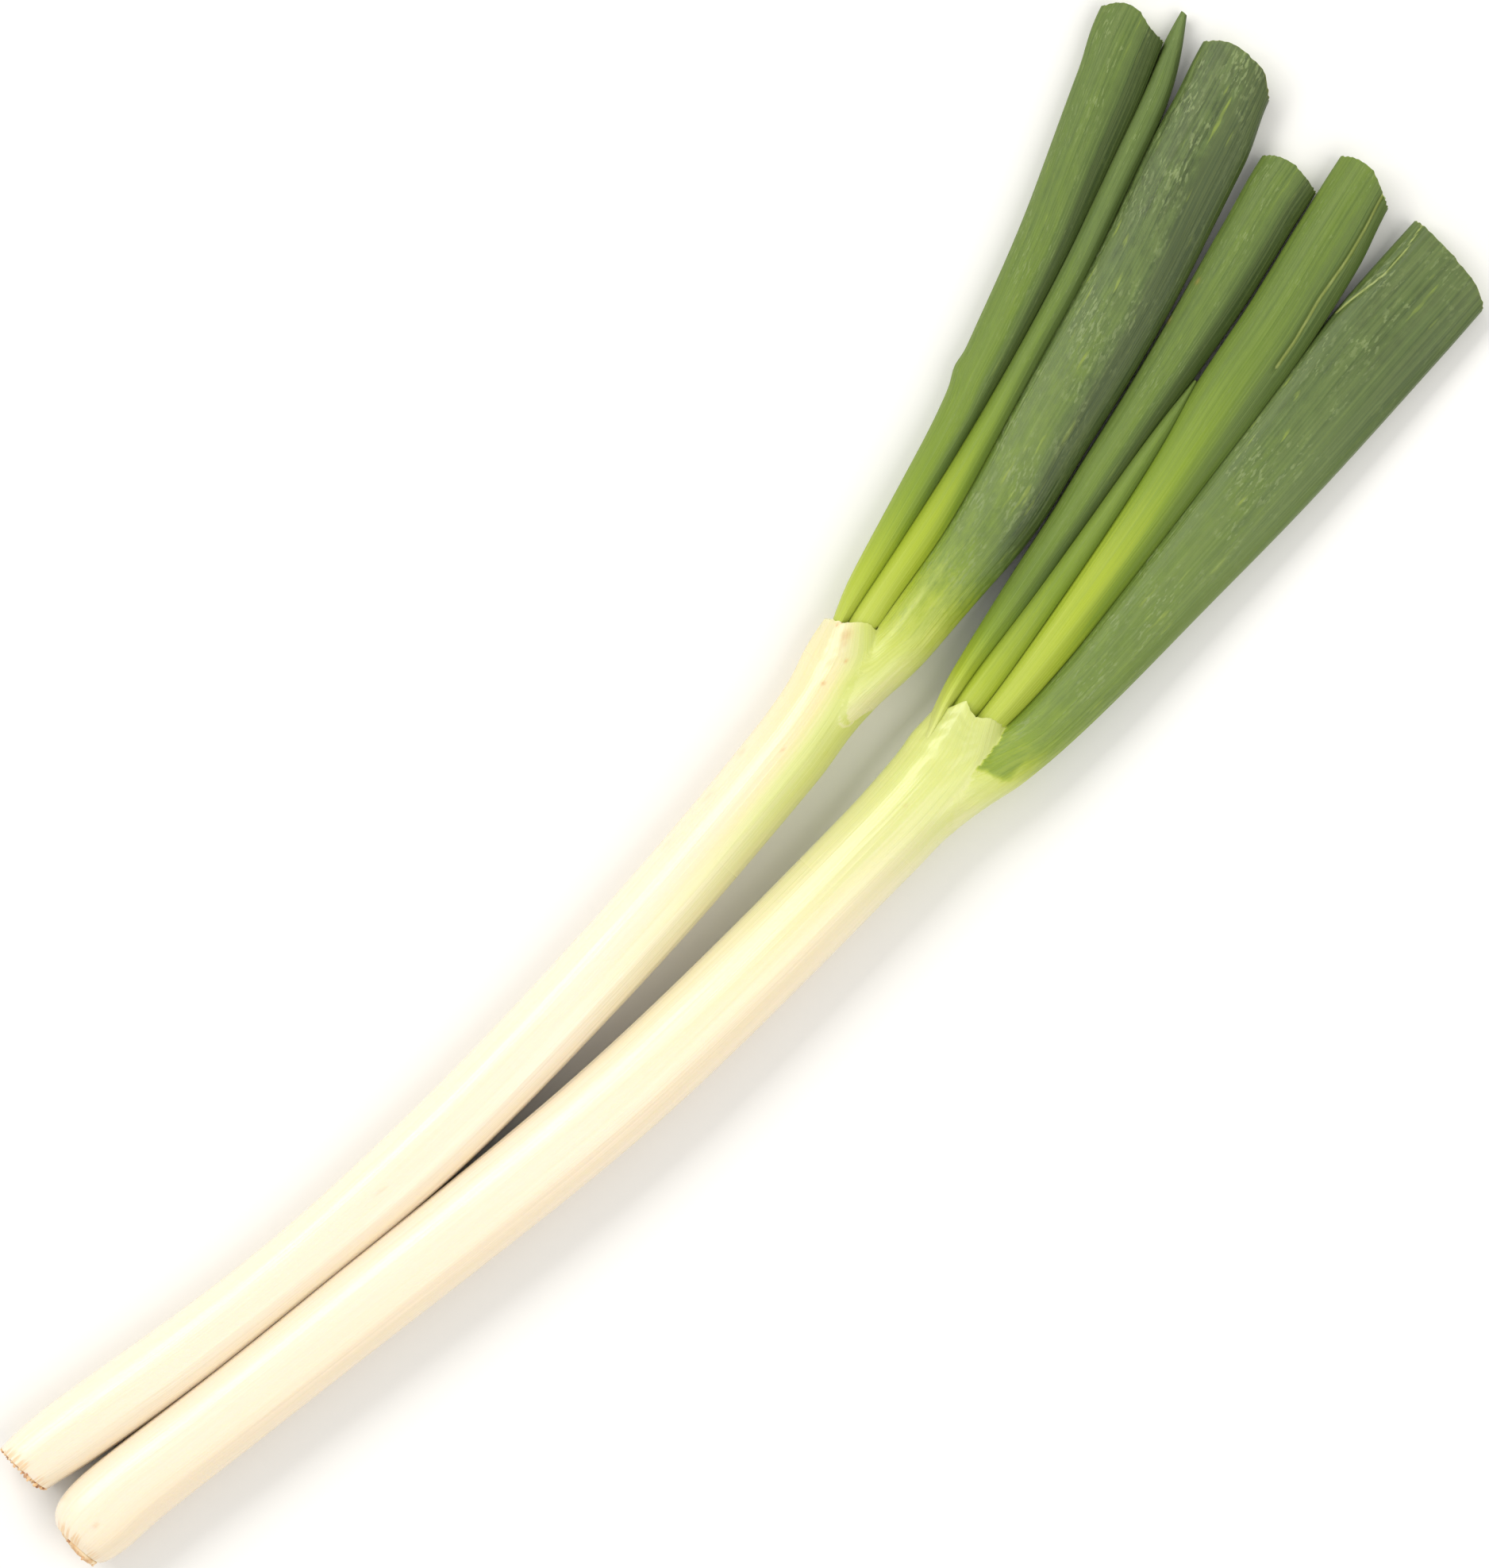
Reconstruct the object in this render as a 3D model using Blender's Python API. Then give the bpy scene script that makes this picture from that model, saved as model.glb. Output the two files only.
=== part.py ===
"""Spring onion bunch: two trimmed Welsh onions lying side by side, roots at -X, leaf tips at +X.

Each onion is a shaft of nested leaf sheaths on a root plate. Every leaf is a closed sheath below and a
tubular blade above, and the younger leaves come out of the mouth of the sheath around them.
"""

import math

import bpy
import bmesh
from mathutils import Matrix

MM = 0.001
SIDES = 16
RING_STEP = 17.0
GAP = 0.4
BEND_GAP = 0.5
BLADE_WALL = 1.8
CUT_OVERRUN = 6.0

# Wall of one sheath, and the root plate with its trimmed roots.
LEFT_SHEATH_WALL = 2.0
RIGHT_SHEATH_WALL = 1.6
PLATE_THICKNESS = 2.4
STUB_COUNT = 11
STUB_RADIUS = 0.7
STUB_LENGTH = 0.9
STUB_INSET = 2.6

# Outlines in millimetres, one row a station: x, y of the +Y side, y of the -Y side, underside, top.
LEFT_SHAFT = [
    (-231.8, 24.5, 9.5, 1.2, 16.4),
    (-224, 24.2, 7.0, 0.4, 17.6),
    (-206, 21.2, 2.4, 0, 18.8),
    (-183, 15.5, -2.4, 0, 18.4),
    (-148, 9.2, -7.8, 0, 17.8),
    (-112, 5.5, -13.4, 0, 19.0),
    (-77, 3.5, -16.1, 0, 19.6),
    (-18, 3.0, -17.1, 0, 20),
    (29, 4.8, -15.8, 0, 20),
    (46, 6.9, -14.8, 0.3, 19.6),
    (56, 9.0, -9.5, 1.5, 18.5),
    (65, 10.6, -3.2, 2.4, 17.4),
]
LEFT_OUTER_BLADE = [
    (30, -7, -15.0, 4, 15.5),
    (46, -3.5, -14.5, 1.2, 17.8),
    (58, -1.6, -14.9, 0.4, 17.2),
    (76, 0.8, -15.7, 0, 16.2),
    (99, 3.7, -15.2, 0, 15),
    (111, 6.2, -15.0, 0, 14.5),
    (134, 12.1, -10.9, 0, 13.5),
    (158, 17.5, -6.8, 0, 12.6),
    (182, 22.8, -1.6, 0, 12),
    (205, 29.7, 4.7, 0, 11.2),
    (229, 35.1, 12.2, 0, 10.4),
    (238.6, 36.0, 17, 0.4, 9.6),
]
LEFT_MIDDLE_BLADE = [
    (28, 1.6, -6.5, 5, 15.2),
    (46, 4.2, -1.5, 3.6, 15.8),
    (56, 6.6, 2.6, 3.6, 15.8),
    (62, 8.6, 4.9, 3.5, 15.5),
    (68, 10.8, 5.9, 3.2, 15),
    (76, 13.3, 6.9, 2.6, 14.6),
    (99, 18.8, 10.0, 1, 13.8),
    (123, 24.7, 14, 0, 13),
    (146, 32.6, 19.0, 0, 12.6),
    (170, 40.6, 25.2, 0, 12),
    (193, 49.7, 32.6, 0, 11.4),
    (217, 59.6, 40.3, 0, 10.6),
    (227.4, 61.4, 44.4, 0.3, 10),
]
LEFT_INNER_BLADE = [
    (50, 2.6, -4.6, 4, 15.4),
    (56, 4.2, -2.6, 4, 15.2),
    (62, 5.0, -1.2, 3.8, 15),
    (68, 5.5, 0.2, 3.4, 14.6),
    (76, 6.4, 1.3, 2.8, 14),
    (99, 9.6, 4.2, 1.5, 12.5),
    (123, 13.6, 9.6, 0.8, 11.6),
    (146, 18.6, 15.0, 0.6, 10.6),
    (170, 24.8, 20.6, 0.3, 9.8),
    (193, 32.2, 26.8, 0, 8.8),
    (217, 39.9, 33.6, 0, 7.4),
    (228, 43.9, 38.8, 0.2, 6.6),
    (234.6, 46.0, 43, 1, 5.2),
    (236.6, 45.5, 44.5, 2, 4),
]
RIGHT_SHAFT = [
    (-237.2, 1.8, -13.0, 2.4, 16.6),
    (-234, 4.2, -15.0, 0.9, 18.6),
    (-227.7, 5.2, -16.0, 0, 19.8),
    (-218, 4.2, -16.9, 0, 20.4),
    (-195, -0.5, -21.2, 0, 20.8),
    (-171, -4.9, -25.3, 0, 20.8),
    (-148, -8.3, -29.4, 0, 21.2),
    (-112, -14, -35.8, 0, 21.8),
    (-65, -20.5, -43.1, 0, 22),
    (-18, -24.1, -46.9, 0, 22),
    (29, -26.1, -49.2, 0, 22),
    (46, -26.1, -50.4, 0.2, 21.6),
    (58, -25.0, -47, 1.2, 20.5),
    (66, -24.6, -42.5, 2.2, 19.2),
]
RIGHT_OUTER_BLADE = [
    (28, -37, -48.4, 3.5, 17),
    (46, -38, -50.6, 1.0, 18.4),
    (60, -38.4, -54.2, 0.2, 17.4),
    (76, -41.1, -56.6, 0, 16),
    (99, -41.3, -58.4, 0, 14.6),
    (123, -39.8, -59.4, 0, 13.6),
    (158, -37.3, -60.9, 0, 12),
    (182, -35.4, -61.3, 0, 11),
    (205, -33.7, -61.3, 0, 10),
    (236, -33.6, -60.4, 0, 9),
]
RIGHT_SECOND_BLADE = [
    (28, -28.6, -37, 5, 17),
    (46, -28.2, -34.0, 4.2, 17.2),
    (56, -27.0, -31.4, 4.2, 17),
    (61, -25.7, -29.8, 4, 16.6),
    (66, -23.7, -28.6, 3.6, 16.2),
    (76, -21.9, -27.2, 3, 15.6),
    (99, -17.8, -26, 1.2, 14),
    (123, -13.9, -23.7, 0.3, 12.8),
    (146, -9.4, -21.0, 0, 12.2),
    (170, -4.8, -18.4, 0, 11.6),
    (193, 0.0, -15.6, 0, 11),
    (217, 5.0, -11.1, 0, 10.2),
    (225.4, 5.4, -9.9, 0.3, 9.6),
]
RIGHT_THIRD_BLADE = [
    (28, -36.5, -44.0, 5.5, 16.5),
    (46, -35.2, -42.4, 4.6, 17),
    (58, -34.6, -41.0, 4.6, 16.6),
    (70, -34.2, -40.3, 3.6, 16),
    (76, -33.8, -40.7, 3, 15.8),
    (99, -30.9, -40.9, 1.2, 14.6),
    (123, -27.7, -39.4, 0, 13.8),
    (146, -24.3, -37.8, 0, 13),
    (170, -19.5, -36.0, 0, 12.4),
    (193, -16.2, -34.2, 0, 12),
    (217, -11.6, -30.8, 0, 11.4),
    (238.2, -8.8, -26.0, 0.3, 10.6),
]
RIGHT_INNER_BLADE = [
    (50, -31.8, -36.0, 5.2, 16.6),
    (58, -30.3, -34.3, 5, 16.4),
    (66, -28.9, -33.9, 4.4, 16),
    (76, -27.6, -33.4, 3.6, 15.2),
    (99, -26.4, -30.5, 2.4, 12.6),
    (123, -24.1, -27.2, 1.6, 11),
    (146, -21.4, -23.8, 1.4, 9.4),
    (158, -20.2, -21.7, 2.2, 8),
    (166, -19.3, -19.8, 4, 5.5),
]

# Where each sheath ends: the outer one in its slanted rim, the others hidden inside it.
INNER_SHEATH_END = 46.0
CORE_SHEATH_END = 28.0
LEFT_RIM_SLANT = -4.6
RIGHT_RIM_SLANT = -6.4

# Where the blades become hollow.
OUTER_HOLLOW_START = 78.0
INNER_HOLLOW_START = 84.0

LIME = (0.45, 0.58, 0.12)
GREEN = (0.16, 0.30, 0.07)
DARK_GREEN = (0.10, 0.20, 0.06)
ROOT_BROWN = (0.52, 0.33, 0.16)
LEAF_ROUGHNESS = 0.42


def clear_scene():
    for item in list(bpy.data.objects):
        bpy.data.objects.remove(item, do_unlink=True)


def new_collection(name):
    collection = bpy.data.collections.new(name)
    bpy.context.scene.collection.children.link(collection)
    return collection


def new_material(name, colour, roughness):
    material = bpy.data.materials.new(name)
    material.use_nodes = True
    surface = material.node_tree.nodes["Principled BSDF"]
    surface.inputs["Base Color"].default_value = (*colour, 1)
    surface.inputs["Roughness"].default_value = roughness
    surface.inputs["Metallic"].default_value = 0
    return material


def slope_at(rows, index, column):
    """Slope of one column at a station, taken across its two neighbours."""
    before = rows[max(index - 1, 0)]
    after = rows[min(index + 1, len(rows) - 1)]
    return (after[column] - before[column]) / (after[0] - before[0])


def smooth_row(rows, x):
    """The outline at x, on a smooth curve through the stations."""
    index = 0
    while index < len(rows) - 2 and x > rows[index + 1][0]:
        index += 1
    start = rows[index]
    end = rows[index + 1]
    length = end[0] - start[0]
    t = (x - start[0]) / length
    result = [x]
    for column in range(1, 5):
        rise = slope_at(rows, index, column) * length
        fall = slope_at(rows, index + 1, column) * length
        value = (2 * t**3 - 3 * t**2 + 1) * start[column] + (t**3 - 2 * t**2 + t) * rise
        value += (3 * t**2 - 2 * t**3) * end[column] + (t**3 - t**2) * fall
        result.append(value)
    return tuple(result)


def even_rows(rows, start, end):
    """Outlines at even steps from start to end, so that nested tubes share their rings."""
    count = max(2, math.ceil((end - start) / RING_STEP))
    return [smooth_row(rows, start + (end - start) * i / count) for i in range(count + 1)]


def inset_rows(rows, distance):
    """Every outline drawn in by one distance on all four sides."""
    return [(x, high - distance, low + distance, under + distance, top - distance)
            for x, high, low, under, top in rows]


def stretched_rows(rows, before, after):
    """The outline carried on past both of its ends, straight along X."""
    first = (rows[0][0] - before, *rows[0][1:])
    last = (rows[-1][0] + after, *rows[-1][1:])
    return ([first] if before else []) + list(rows) + ([last] if after else [])


def section(row, slant=0.0):
    """Matrix that lays a unit circle on the outline; slant tips the section along X."""
    x, high, low, under, top = row
    matrix = Matrix.Translation((x * MM, (high + low) / 2 * MM, (under + top) / 2 * MM))
    shape = Matrix.Diagonal((1, (high - low) / 2 * MM, (top - under) / 2 * MM, 1))
    shape[0][1] = slant * MM
    return matrix @ shape


def loft(name, rows, collection, end_slant=0.0):
    """A closed tube: a capped circle extruded from station to station."""
    bm = bmesh.new()
    facing_x = Matrix.Rotation(math.pi / 2, 4, "Y") @ Matrix.Rotation(math.pi / SIDES, 4, "Z")
    sections = [section(row) for row in rows]
    sections[-1] = section(rows[-1], end_slant)
    bmesh.ops.create_circle(
        bm,
        cap_ends=True,
        segments=SIDES,
        radius=1 / math.cos(math.pi / SIDES),
        matrix=sections[0] @ facing_x,
    )
    first_cap = bm.faces[:][0]
    cap = first_cap
    for before, after in zip(sections, sections[1:]):
        grown = bmesh.ops.extrude_face_region(bm, geom=[cap])["geom"]
        if cap != first_cap:
            bmesh.ops.delete(bm, geom=[cap], context="FACES_ONLY")
        points = [item for item in grown if isinstance(item, bmesh.types.BMVert)]
        cap = next(item for item in grown if isinstance(item, bmesh.types.BMFace))
        bmesh.ops.transform(bm, matrix=after @ before.inverted(), verts=points)
    bmesh.ops.recalc_face_normals(bm, faces=bm.faces)
    mesh = bpy.data.meshes.new(name)
    bm.to_mesh(mesh)
    bm.free()
    tube = bpy.data.objects.new(name, mesh)
    collection.objects.link(tube)
    return tube


def hide_cutter(cutter):
    cutter.hide_render = True
    cutter.display_type = "WIRE"
    return cutter


def add_boolean(body, other, operation):
    boolean = body.modifiers.new(operation.title(), "BOOLEAN")
    boolean.object = other
    boolean.operation = operation
    boolean.solver = "EXACT"


def finish_leaf(leaf, material):
    leaf.data.materials.append(material)
    leaf.data.shade_smooth()
    leaf.data.set_sharp_from_angle(angle=math.radians(40))


def make_room(leaf, inner_shapes, cutters):
    """Cuts the space that the younger leaves take, a little wider than GAP because they bend in it."""
    for name, rows in inner_shapes:
        roomy = stretched_rows(inset_rows(rows, -BEND_GAP), GAP, GAP)
        cutter = hide_cutter(loft(f"{leaf.name}_room_{name}", roomy, cutters))
        add_boolean(leaf, cutter, "DIFFERENCE")


def make_hollow(leaf, rows, start, cutters):
    """Hollows a blade from its base to its open cut end."""
    inside = [row for row in rows if row[0] > start]
    inside = stretched_rows(inset_rows(inside, BLADE_WALL), 0, CUT_OVERRUN)
    cutter = hide_cutter(loft(f"{leaf.name}_hollow", inside, cutters))
    add_boolean(leaf, cutter, "DIFFERENCE")


def make_leaf(name, sheath, blade, rim_slant, colour, parts, cutters):
    """A sheath with its blade grown out of one side of it."""
    leaf = loft(name, sheath, parts, rim_slant)
    add_boolean(leaf, hide_cutter(loft(f"{name}_blade", blade, cutters)), "UNION")
    finish_leaf(leaf, new_material(name, colour, LEAF_ROUGHNESS))
    return leaf


def make_stub(name, start, end, y, z, cutters):
    """One trimmed root: a short six-sided peg along X."""
    bm = bmesh.new()
    middle = Matrix.Translation(((start + end) / 2 * MM, y * MM, z * MM))
    bmesh.ops.create_cone(
        bm,
        cap_ends=True,
        segments=6,
        radius1=STUB_RADIUS * MM,
        radius2=STUB_RADIUS * MM,
        depth=(end - start) * MM,
        matrix=middle @ Matrix.Rotation(math.pi / 2, 4, "Y"),
    )
    mesh = bpy.data.meshes.new(name)
    bm.to_mesh(mesh)
    bm.free()
    peg = bpy.data.objects.new(name, mesh)
    cutters.objects.link(peg)
    return hide_cutter(peg)


def make_root_plate(name, shaft_end, parts, cutters):
    """The hard disc that the leaves grow from, with a ring of trimmed root stubs."""
    x, high, low, under, top = shaft_end
    back = x - PLATE_THICKNESS
    plate = loft(
        name,
        [
            (back, high - 1.6, low + 1.6, under + 1.6, top - 1.6),
            (back + 0.7, high - 0.5, low + 0.5, under + 0.5, top - 0.5),
            (x - GAP, high, low, under, top),
        ],
        parts,
    )
    ring_y = (high - low) / 2 - STUB_INSET
    ring_z = (top - under) / 2 - STUB_INSET
    for i in range(STUB_COUNT):
        angle = math.tau * i / STUB_COUNT
        reach = STUB_LENGTH * (0.75 + 0.25 * math.sin(3 * angle))
        y = (high + low) / 2 + ring_y * math.cos(angle)
        z = (under + top) / 2 + ring_z * math.sin(angle)
        peg = make_stub(f"{name}_stub_{i + 1}", back - reach, back + 1, y, z, cutters)
        add_boolean(plate, peg, "UNION")
    finish_leaf(plate, new_material(name, ROOT_BROWN, 0.9))


def core_rows(shaft, depth, blade):
    """The youngest leaf: a solid core inside the shaft that becomes the blade."""
    sheath = inset_rows(even_rows(shaft, shaft[0][0], CORE_SHEATH_END), depth)
    return sheath + even_rows(blade, blade[0][0], blade[-1][0])


def blade_rows(blade):
    return even_rows(blade, blade[0][0], blade[-1][0])


def build_left(parts, cutters):
    outer = even_rows(LEFT_SHAFT, LEFT_SHAFT[0][0], INNER_SHEATH_END)
    collar = even_rows(LEFT_SHAFT, INNER_SHEATH_END, LEFT_SHAFT[-1][0])[1:]
    depth = LEFT_SHEATH_WALL + GAP
    middle = inset_rows(outer, depth)
    inner = core_rows(LEFT_SHAFT, 2 * depth, LEFT_INNER_BLADE)
    outer_blade = blade_rows(LEFT_OUTER_BLADE)
    middle_blade = blade_rows(LEFT_MIDDLE_BLADE)

    leaf = make_leaf("left_outer_leaf", outer + collar, outer_blade, LEFT_RIM_SLANT, DARK_GREEN,
                     parts, cutters)
    make_room(leaf, [("sheath", middle), ("blade", middle_blade), ("inner", inner)], cutters)
    make_hollow(leaf, outer_blade, OUTER_HOLLOW_START, cutters)

    leaf = make_leaf("left_middle_leaf", middle, middle_blade, 0, GREEN, parts, cutters)
    make_room(leaf, [("inner", inner)], cutters)
    make_hollow(leaf, middle_blade, INNER_HOLLOW_START, cutters)

    leaf = loft("left_inner_leaf", inner, parts)
    finish_leaf(leaf, new_material("left_inner_leaf", LIME, LEAF_ROUGHNESS))
    make_root_plate("left_root_plate", LEFT_SHAFT[0], parts, cutters)


def build_right(parts, cutters):
    outer = even_rows(RIGHT_SHAFT, RIGHT_SHAFT[0][0], INNER_SHEATH_END)
    collar = even_rows(RIGHT_SHAFT, INNER_SHEATH_END, RIGHT_SHAFT[-1][0])[1:]
    depth = RIGHT_SHEATH_WALL + GAP
    second = inset_rows(outer, depth)
    third = inset_rows(outer, 2 * depth)
    inner = core_rows(RIGHT_SHAFT, 3 * depth, RIGHT_INNER_BLADE)
    outer_blade = blade_rows(RIGHT_OUTER_BLADE)
    second_blade = blade_rows(RIGHT_SECOND_BLADE)
    third_blade = blade_rows(RIGHT_THIRD_BLADE)

    leaf = make_leaf("right_outer_leaf", outer + collar, outer_blade, RIGHT_RIM_SLANT, GREEN,
                     parts, cutters)
    make_room(leaf, [("sheath", second), ("second", second_blade), ("third", third_blade),
                     ("inner", inner)], cutters)
    make_hollow(leaf, outer_blade, OUTER_HOLLOW_START, cutters)

    leaf = make_leaf("right_second_leaf", second, second_blade, 0, GREEN, parts, cutters)
    make_room(leaf, [("sheath", third), ("third", third_blade), ("inner", inner)], cutters)
    make_hollow(leaf, second_blade, INNER_HOLLOW_START, cutters)

    leaf = make_leaf("right_third_leaf", third, third_blade, 0, LIME, parts, cutters)
    make_room(leaf, [("inner", inner)], cutters)
    make_hollow(leaf, third_blade, INNER_HOLLOW_START, cutters)

    leaf = loft("right_inner_leaf", inner, parts)
    finish_leaf(leaf, new_material("right_inner_leaf", LIME, LEAF_ROUGHNESS))
    make_root_plate("right_root_plate", RIGHT_SHAFT[0], parts, cutters)


def main():
    clear_scene()
    parts = new_collection("spring_onion_bunch")
    cutters = new_collection("cutters")
    build_left(parts, cutters)
    build_right(parts, cutters)


main()
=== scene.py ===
import math
import random
import bpy
import numpy as np
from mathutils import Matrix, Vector, noise


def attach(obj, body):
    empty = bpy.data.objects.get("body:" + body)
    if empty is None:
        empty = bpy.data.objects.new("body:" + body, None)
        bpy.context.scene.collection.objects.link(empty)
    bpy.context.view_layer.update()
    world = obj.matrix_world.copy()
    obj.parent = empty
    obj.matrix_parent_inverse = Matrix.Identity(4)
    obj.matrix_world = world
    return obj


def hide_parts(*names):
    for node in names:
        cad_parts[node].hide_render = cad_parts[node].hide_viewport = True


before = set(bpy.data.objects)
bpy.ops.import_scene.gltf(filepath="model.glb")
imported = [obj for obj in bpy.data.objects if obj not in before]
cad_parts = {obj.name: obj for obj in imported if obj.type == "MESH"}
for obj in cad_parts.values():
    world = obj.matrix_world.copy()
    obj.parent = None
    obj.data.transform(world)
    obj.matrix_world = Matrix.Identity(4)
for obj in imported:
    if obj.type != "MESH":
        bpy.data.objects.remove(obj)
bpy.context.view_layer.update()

mm = 0.001


def deselectAll():
    if bpy.context.mode != "OBJECT":
        bpy.ops.object.mode_set(mode="OBJECT")
    bpy.ops.object.select_all(action="DESELECT")


def makeActive(piece):
    deselectAll()
    piece.select_set(True)
    bpy.context.view_layer.objects.active = piece


def applyAll(piece):
    makeActive(piece)
    for modifier in list(piece.modifiers):
        bpy.ops.object.modifier_apply(modifier=modifier.name)


def smoothStep(low, high, x):
    t = np.clip((x - low) / (high - low), 0, 1)
    return t * t * (3 - 2 * t)


# Outlines are in millimetres in the frame: x, +Y side, -Y side, underside, top

def smoothRow(rows, x):
    xs = [row[0] for row in rows]
    i = min(max(int(np.searchsorted(xs, x)) - 1, 0), len(rows) - 2)
    span = xs[i + 1] - xs[i]
    t = min(max((x - xs[i]) / span, 0.0), 1.0)
    before, after = rows[max(i - 1, 0)], rows[min(i + 2, len(rows) - 1)]
    out = [x]
    for c in range(1, len(rows[0])):
        a, b = rows[i][c], rows[i + 1][c]
        slopeA = (b - before[c]) / (xs[i + 1] - before[0]) * span
        slopeB = (after[c] - a) / (after[0] - xs[i]) * span
        out.append((2*t**3 - 3*t**2 + 1) * a + (t**3 - 2*t**2 + t) * slopeA
                   + (3*t**2 - 2*t**3) * b + (t**3 - t**2) * slopeB)
    return out


def rowsAt(rows, x):
    # centre y, centre z, half width and half height for a whole array of x
    fine = np.linspace(rows[0][0], rows[-1][0], 500)
    values = np.array([smoothRow(rows, f) for f in fine])
    high, low, under, top = [np.interp(x, fine, values[:, c]) for c in range(1, 5)]
    return (high + low) / 2, (under + top) / 2, (high - low) / 2, (top - under) / 2


def inset(rows, d):
    return [(r[0], r[1] - d, r[2] + d, r[3] + d, r[4] - d) for r in rows]


def spread(start, end, step):
    count = max(2, math.ceil((end - start) / step))
    return [start + (end - start) * i / count for i in range(count + 1)]


cageSides = 16
cageSwell = 1.0 / 0.9745   # makes up for how far a subdivided ring of 16 pulls in


def leafTube(name, rows, stations, levels=3):
    # one ring, extruded and resized from station to station, then subdivided
    deselectAll()
    places = [smoothRow(rows, x) for x in stations]

    def centre(p):
        return Vector((p[0], (p[1] + p[2]) / 2, (p[3] + p[4]) / 2)) * mm

    def halves(p):
        return (p[1] - p[2]) / 2 * mm * cageSwell, (p[4] - p[3]) / 2 * mm * cageSwell

    at = centre(places[0])
    wide, high = halves(places[0])
    bpy.ops.mesh.primitive_circle_add(vertices=cageSides, radius=1, fill_type="NOTHING",
                                      location=at, rotation=(0, math.pi / 2, 0))
    tube = bpy.context.object
    tube.name = name
    bpy.ops.object.transform_apply(location=True, rotation=True, scale=True)
    bpy.ops.object.mode_set(mode="EDIT")
    bpy.ops.mesh.select_all(action="SELECT")
    bpy.ops.transform.resize(value=(1, wide, high), center_override=at)
    for p in places[1:]:
        to = centre(p)
        nextWide, nextHigh = halves(p)
        bpy.ops.mesh.extrude_edges_move(TRANSFORM_OT_translate={"value": to - at})
        bpy.ops.transform.resize(value=(1, nextWide / wide, nextHigh / high), center_override=to)
        at, wide, high = to, nextWide, nextHigh
    bpy.ops.mesh.select_all(action="SELECT")
    bpy.ops.mesh.normals_make_consistent(inside=False)
    bpy.ops.object.mode_set(mode="OBJECT")
    smooth = tube.modifiers.new("smooth", "SUBSURF")
    smooth.levels = levels
    smooth.render_levels = levels
    applyAll(tube)
    return tube


def capEnds(tube):
    makeActive(tube)
    bpy.ops.object.mode_set(mode="EDIT")
    bpy.ops.mesh.select_all(action="SELECT")
    bpy.ops.mesh.fill_holes(sides=0)
    bpy.ops.mesh.select_all(action="SELECT")
    bpy.ops.mesh.normals_make_consistent(inside=False)
    bpy.ops.object.mode_set(mode="OBJECT")


flatCap = {"facing": 0.98, "offBy": 0.05}


def openEnds(piece, ends):
    # takes away the flat caps that stand at these x
    makeActive(piece)
    bpy.ops.object.mode_set(mode="EDIT")
    bpy.ops.mesh.select_mode(type="FACE")
    bpy.ops.object.mode_set(mode="OBJECT")
    for face in piece.data.polygons:
        flat = abs(face.normal.x) > flatCap["facing"]
        face.select = flat and any(abs(face.center.x - x * mm) < flatCap["offBy"] * mm for x in ends)
    bpy.ops.object.mode_set(mode="EDIT")
    bpy.ops.mesh.delete(type="ONLY_FACE")
    bpy.ops.object.mode_set(mode="OBJECT")


def joinTubes(body, other):
    union = body.modifiers.new("union", "BOOLEAN")
    union.object = other
    union.operation = "UNION"
    union.solver = "EXACT"
    applyAll(body)
    bpy.data.objects.remove(other, do_unlink=True)


def readPoints(piece):
    points = np.empty(len(piece.data.vertices) * 3, np.float32)
    piece.data.vertices.foreach_get("co", points)
    return points.reshape(-1, 3).astype(np.float64) / mm


def writePoints(piece, points):
    piece.data.vertices.foreach_set("co", (points * mm).astype(np.float32).ravel())
    piece.data.update()


def storeValue(piece, name, values):
    layer = piece.data.attributes.new(name, "FLOAT", "POINT")
    layer.data.foreach_set("value", np.asarray(values, np.float32))


def storeVector(piece, name, values):
    layer = piece.data.attributes.new(name, "FLOAT_VECTOR", "POINT")
    layer.data.foreach_set("vector", np.asarray(values, np.float32).ravel())


def softNoise(points, scale, seed=0.0):
    # slow smooth noise at every point, -1 to 1
    shift = Vector((seed, seed * 1.7, -seed))
    return np.array([noise.noise(Vector(p) * scale + shift) for p in points])


joint = {"pastMouth": 0.5, "noCrease": 9.0}


def flowOf(points, sheath, blade, split):
    # for every point: is it on the blade, and its place across and up the leaf there
    x = points[:, 0]
    sy, sz, sw, sh = rowsAt(sheath, x)
    by, bz, bw, bh = rowsAt(blade, x)
    onSheath = np.abs(np.hypot((points[:, 1] - sy) / sw, (points[:, 2] - sz) / sh) - 1)
    onBlade = np.abs(np.hypot((points[:, 1] - by) / bw, (points[:, 2] - bz) / bh) - 1)
    pastMouth = x > sheath[-1][0] + joint["pastMouth"]
    isBlade = (onBlade < onSheath) & (x > blade[0][0]) | pastMouth
    crease = np.maximum(onBlade, onSheath) + joint["noCrease"] * ((x < blade[0][0]) | pastMouth)
    w = smoothStep(split[0], split[1], x) * isBlade
    cy, cz = sy * (1 - w) + by * w, sz * (1 - w) + bz * w
    wide, high = sw * (1 - w) + bw * w, sh * (1 - w) + bh * w
    return isBlade.astype(float), (points[:, 1] - cy) / wide, (points[:, 2] - cz) / high, crease


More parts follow.
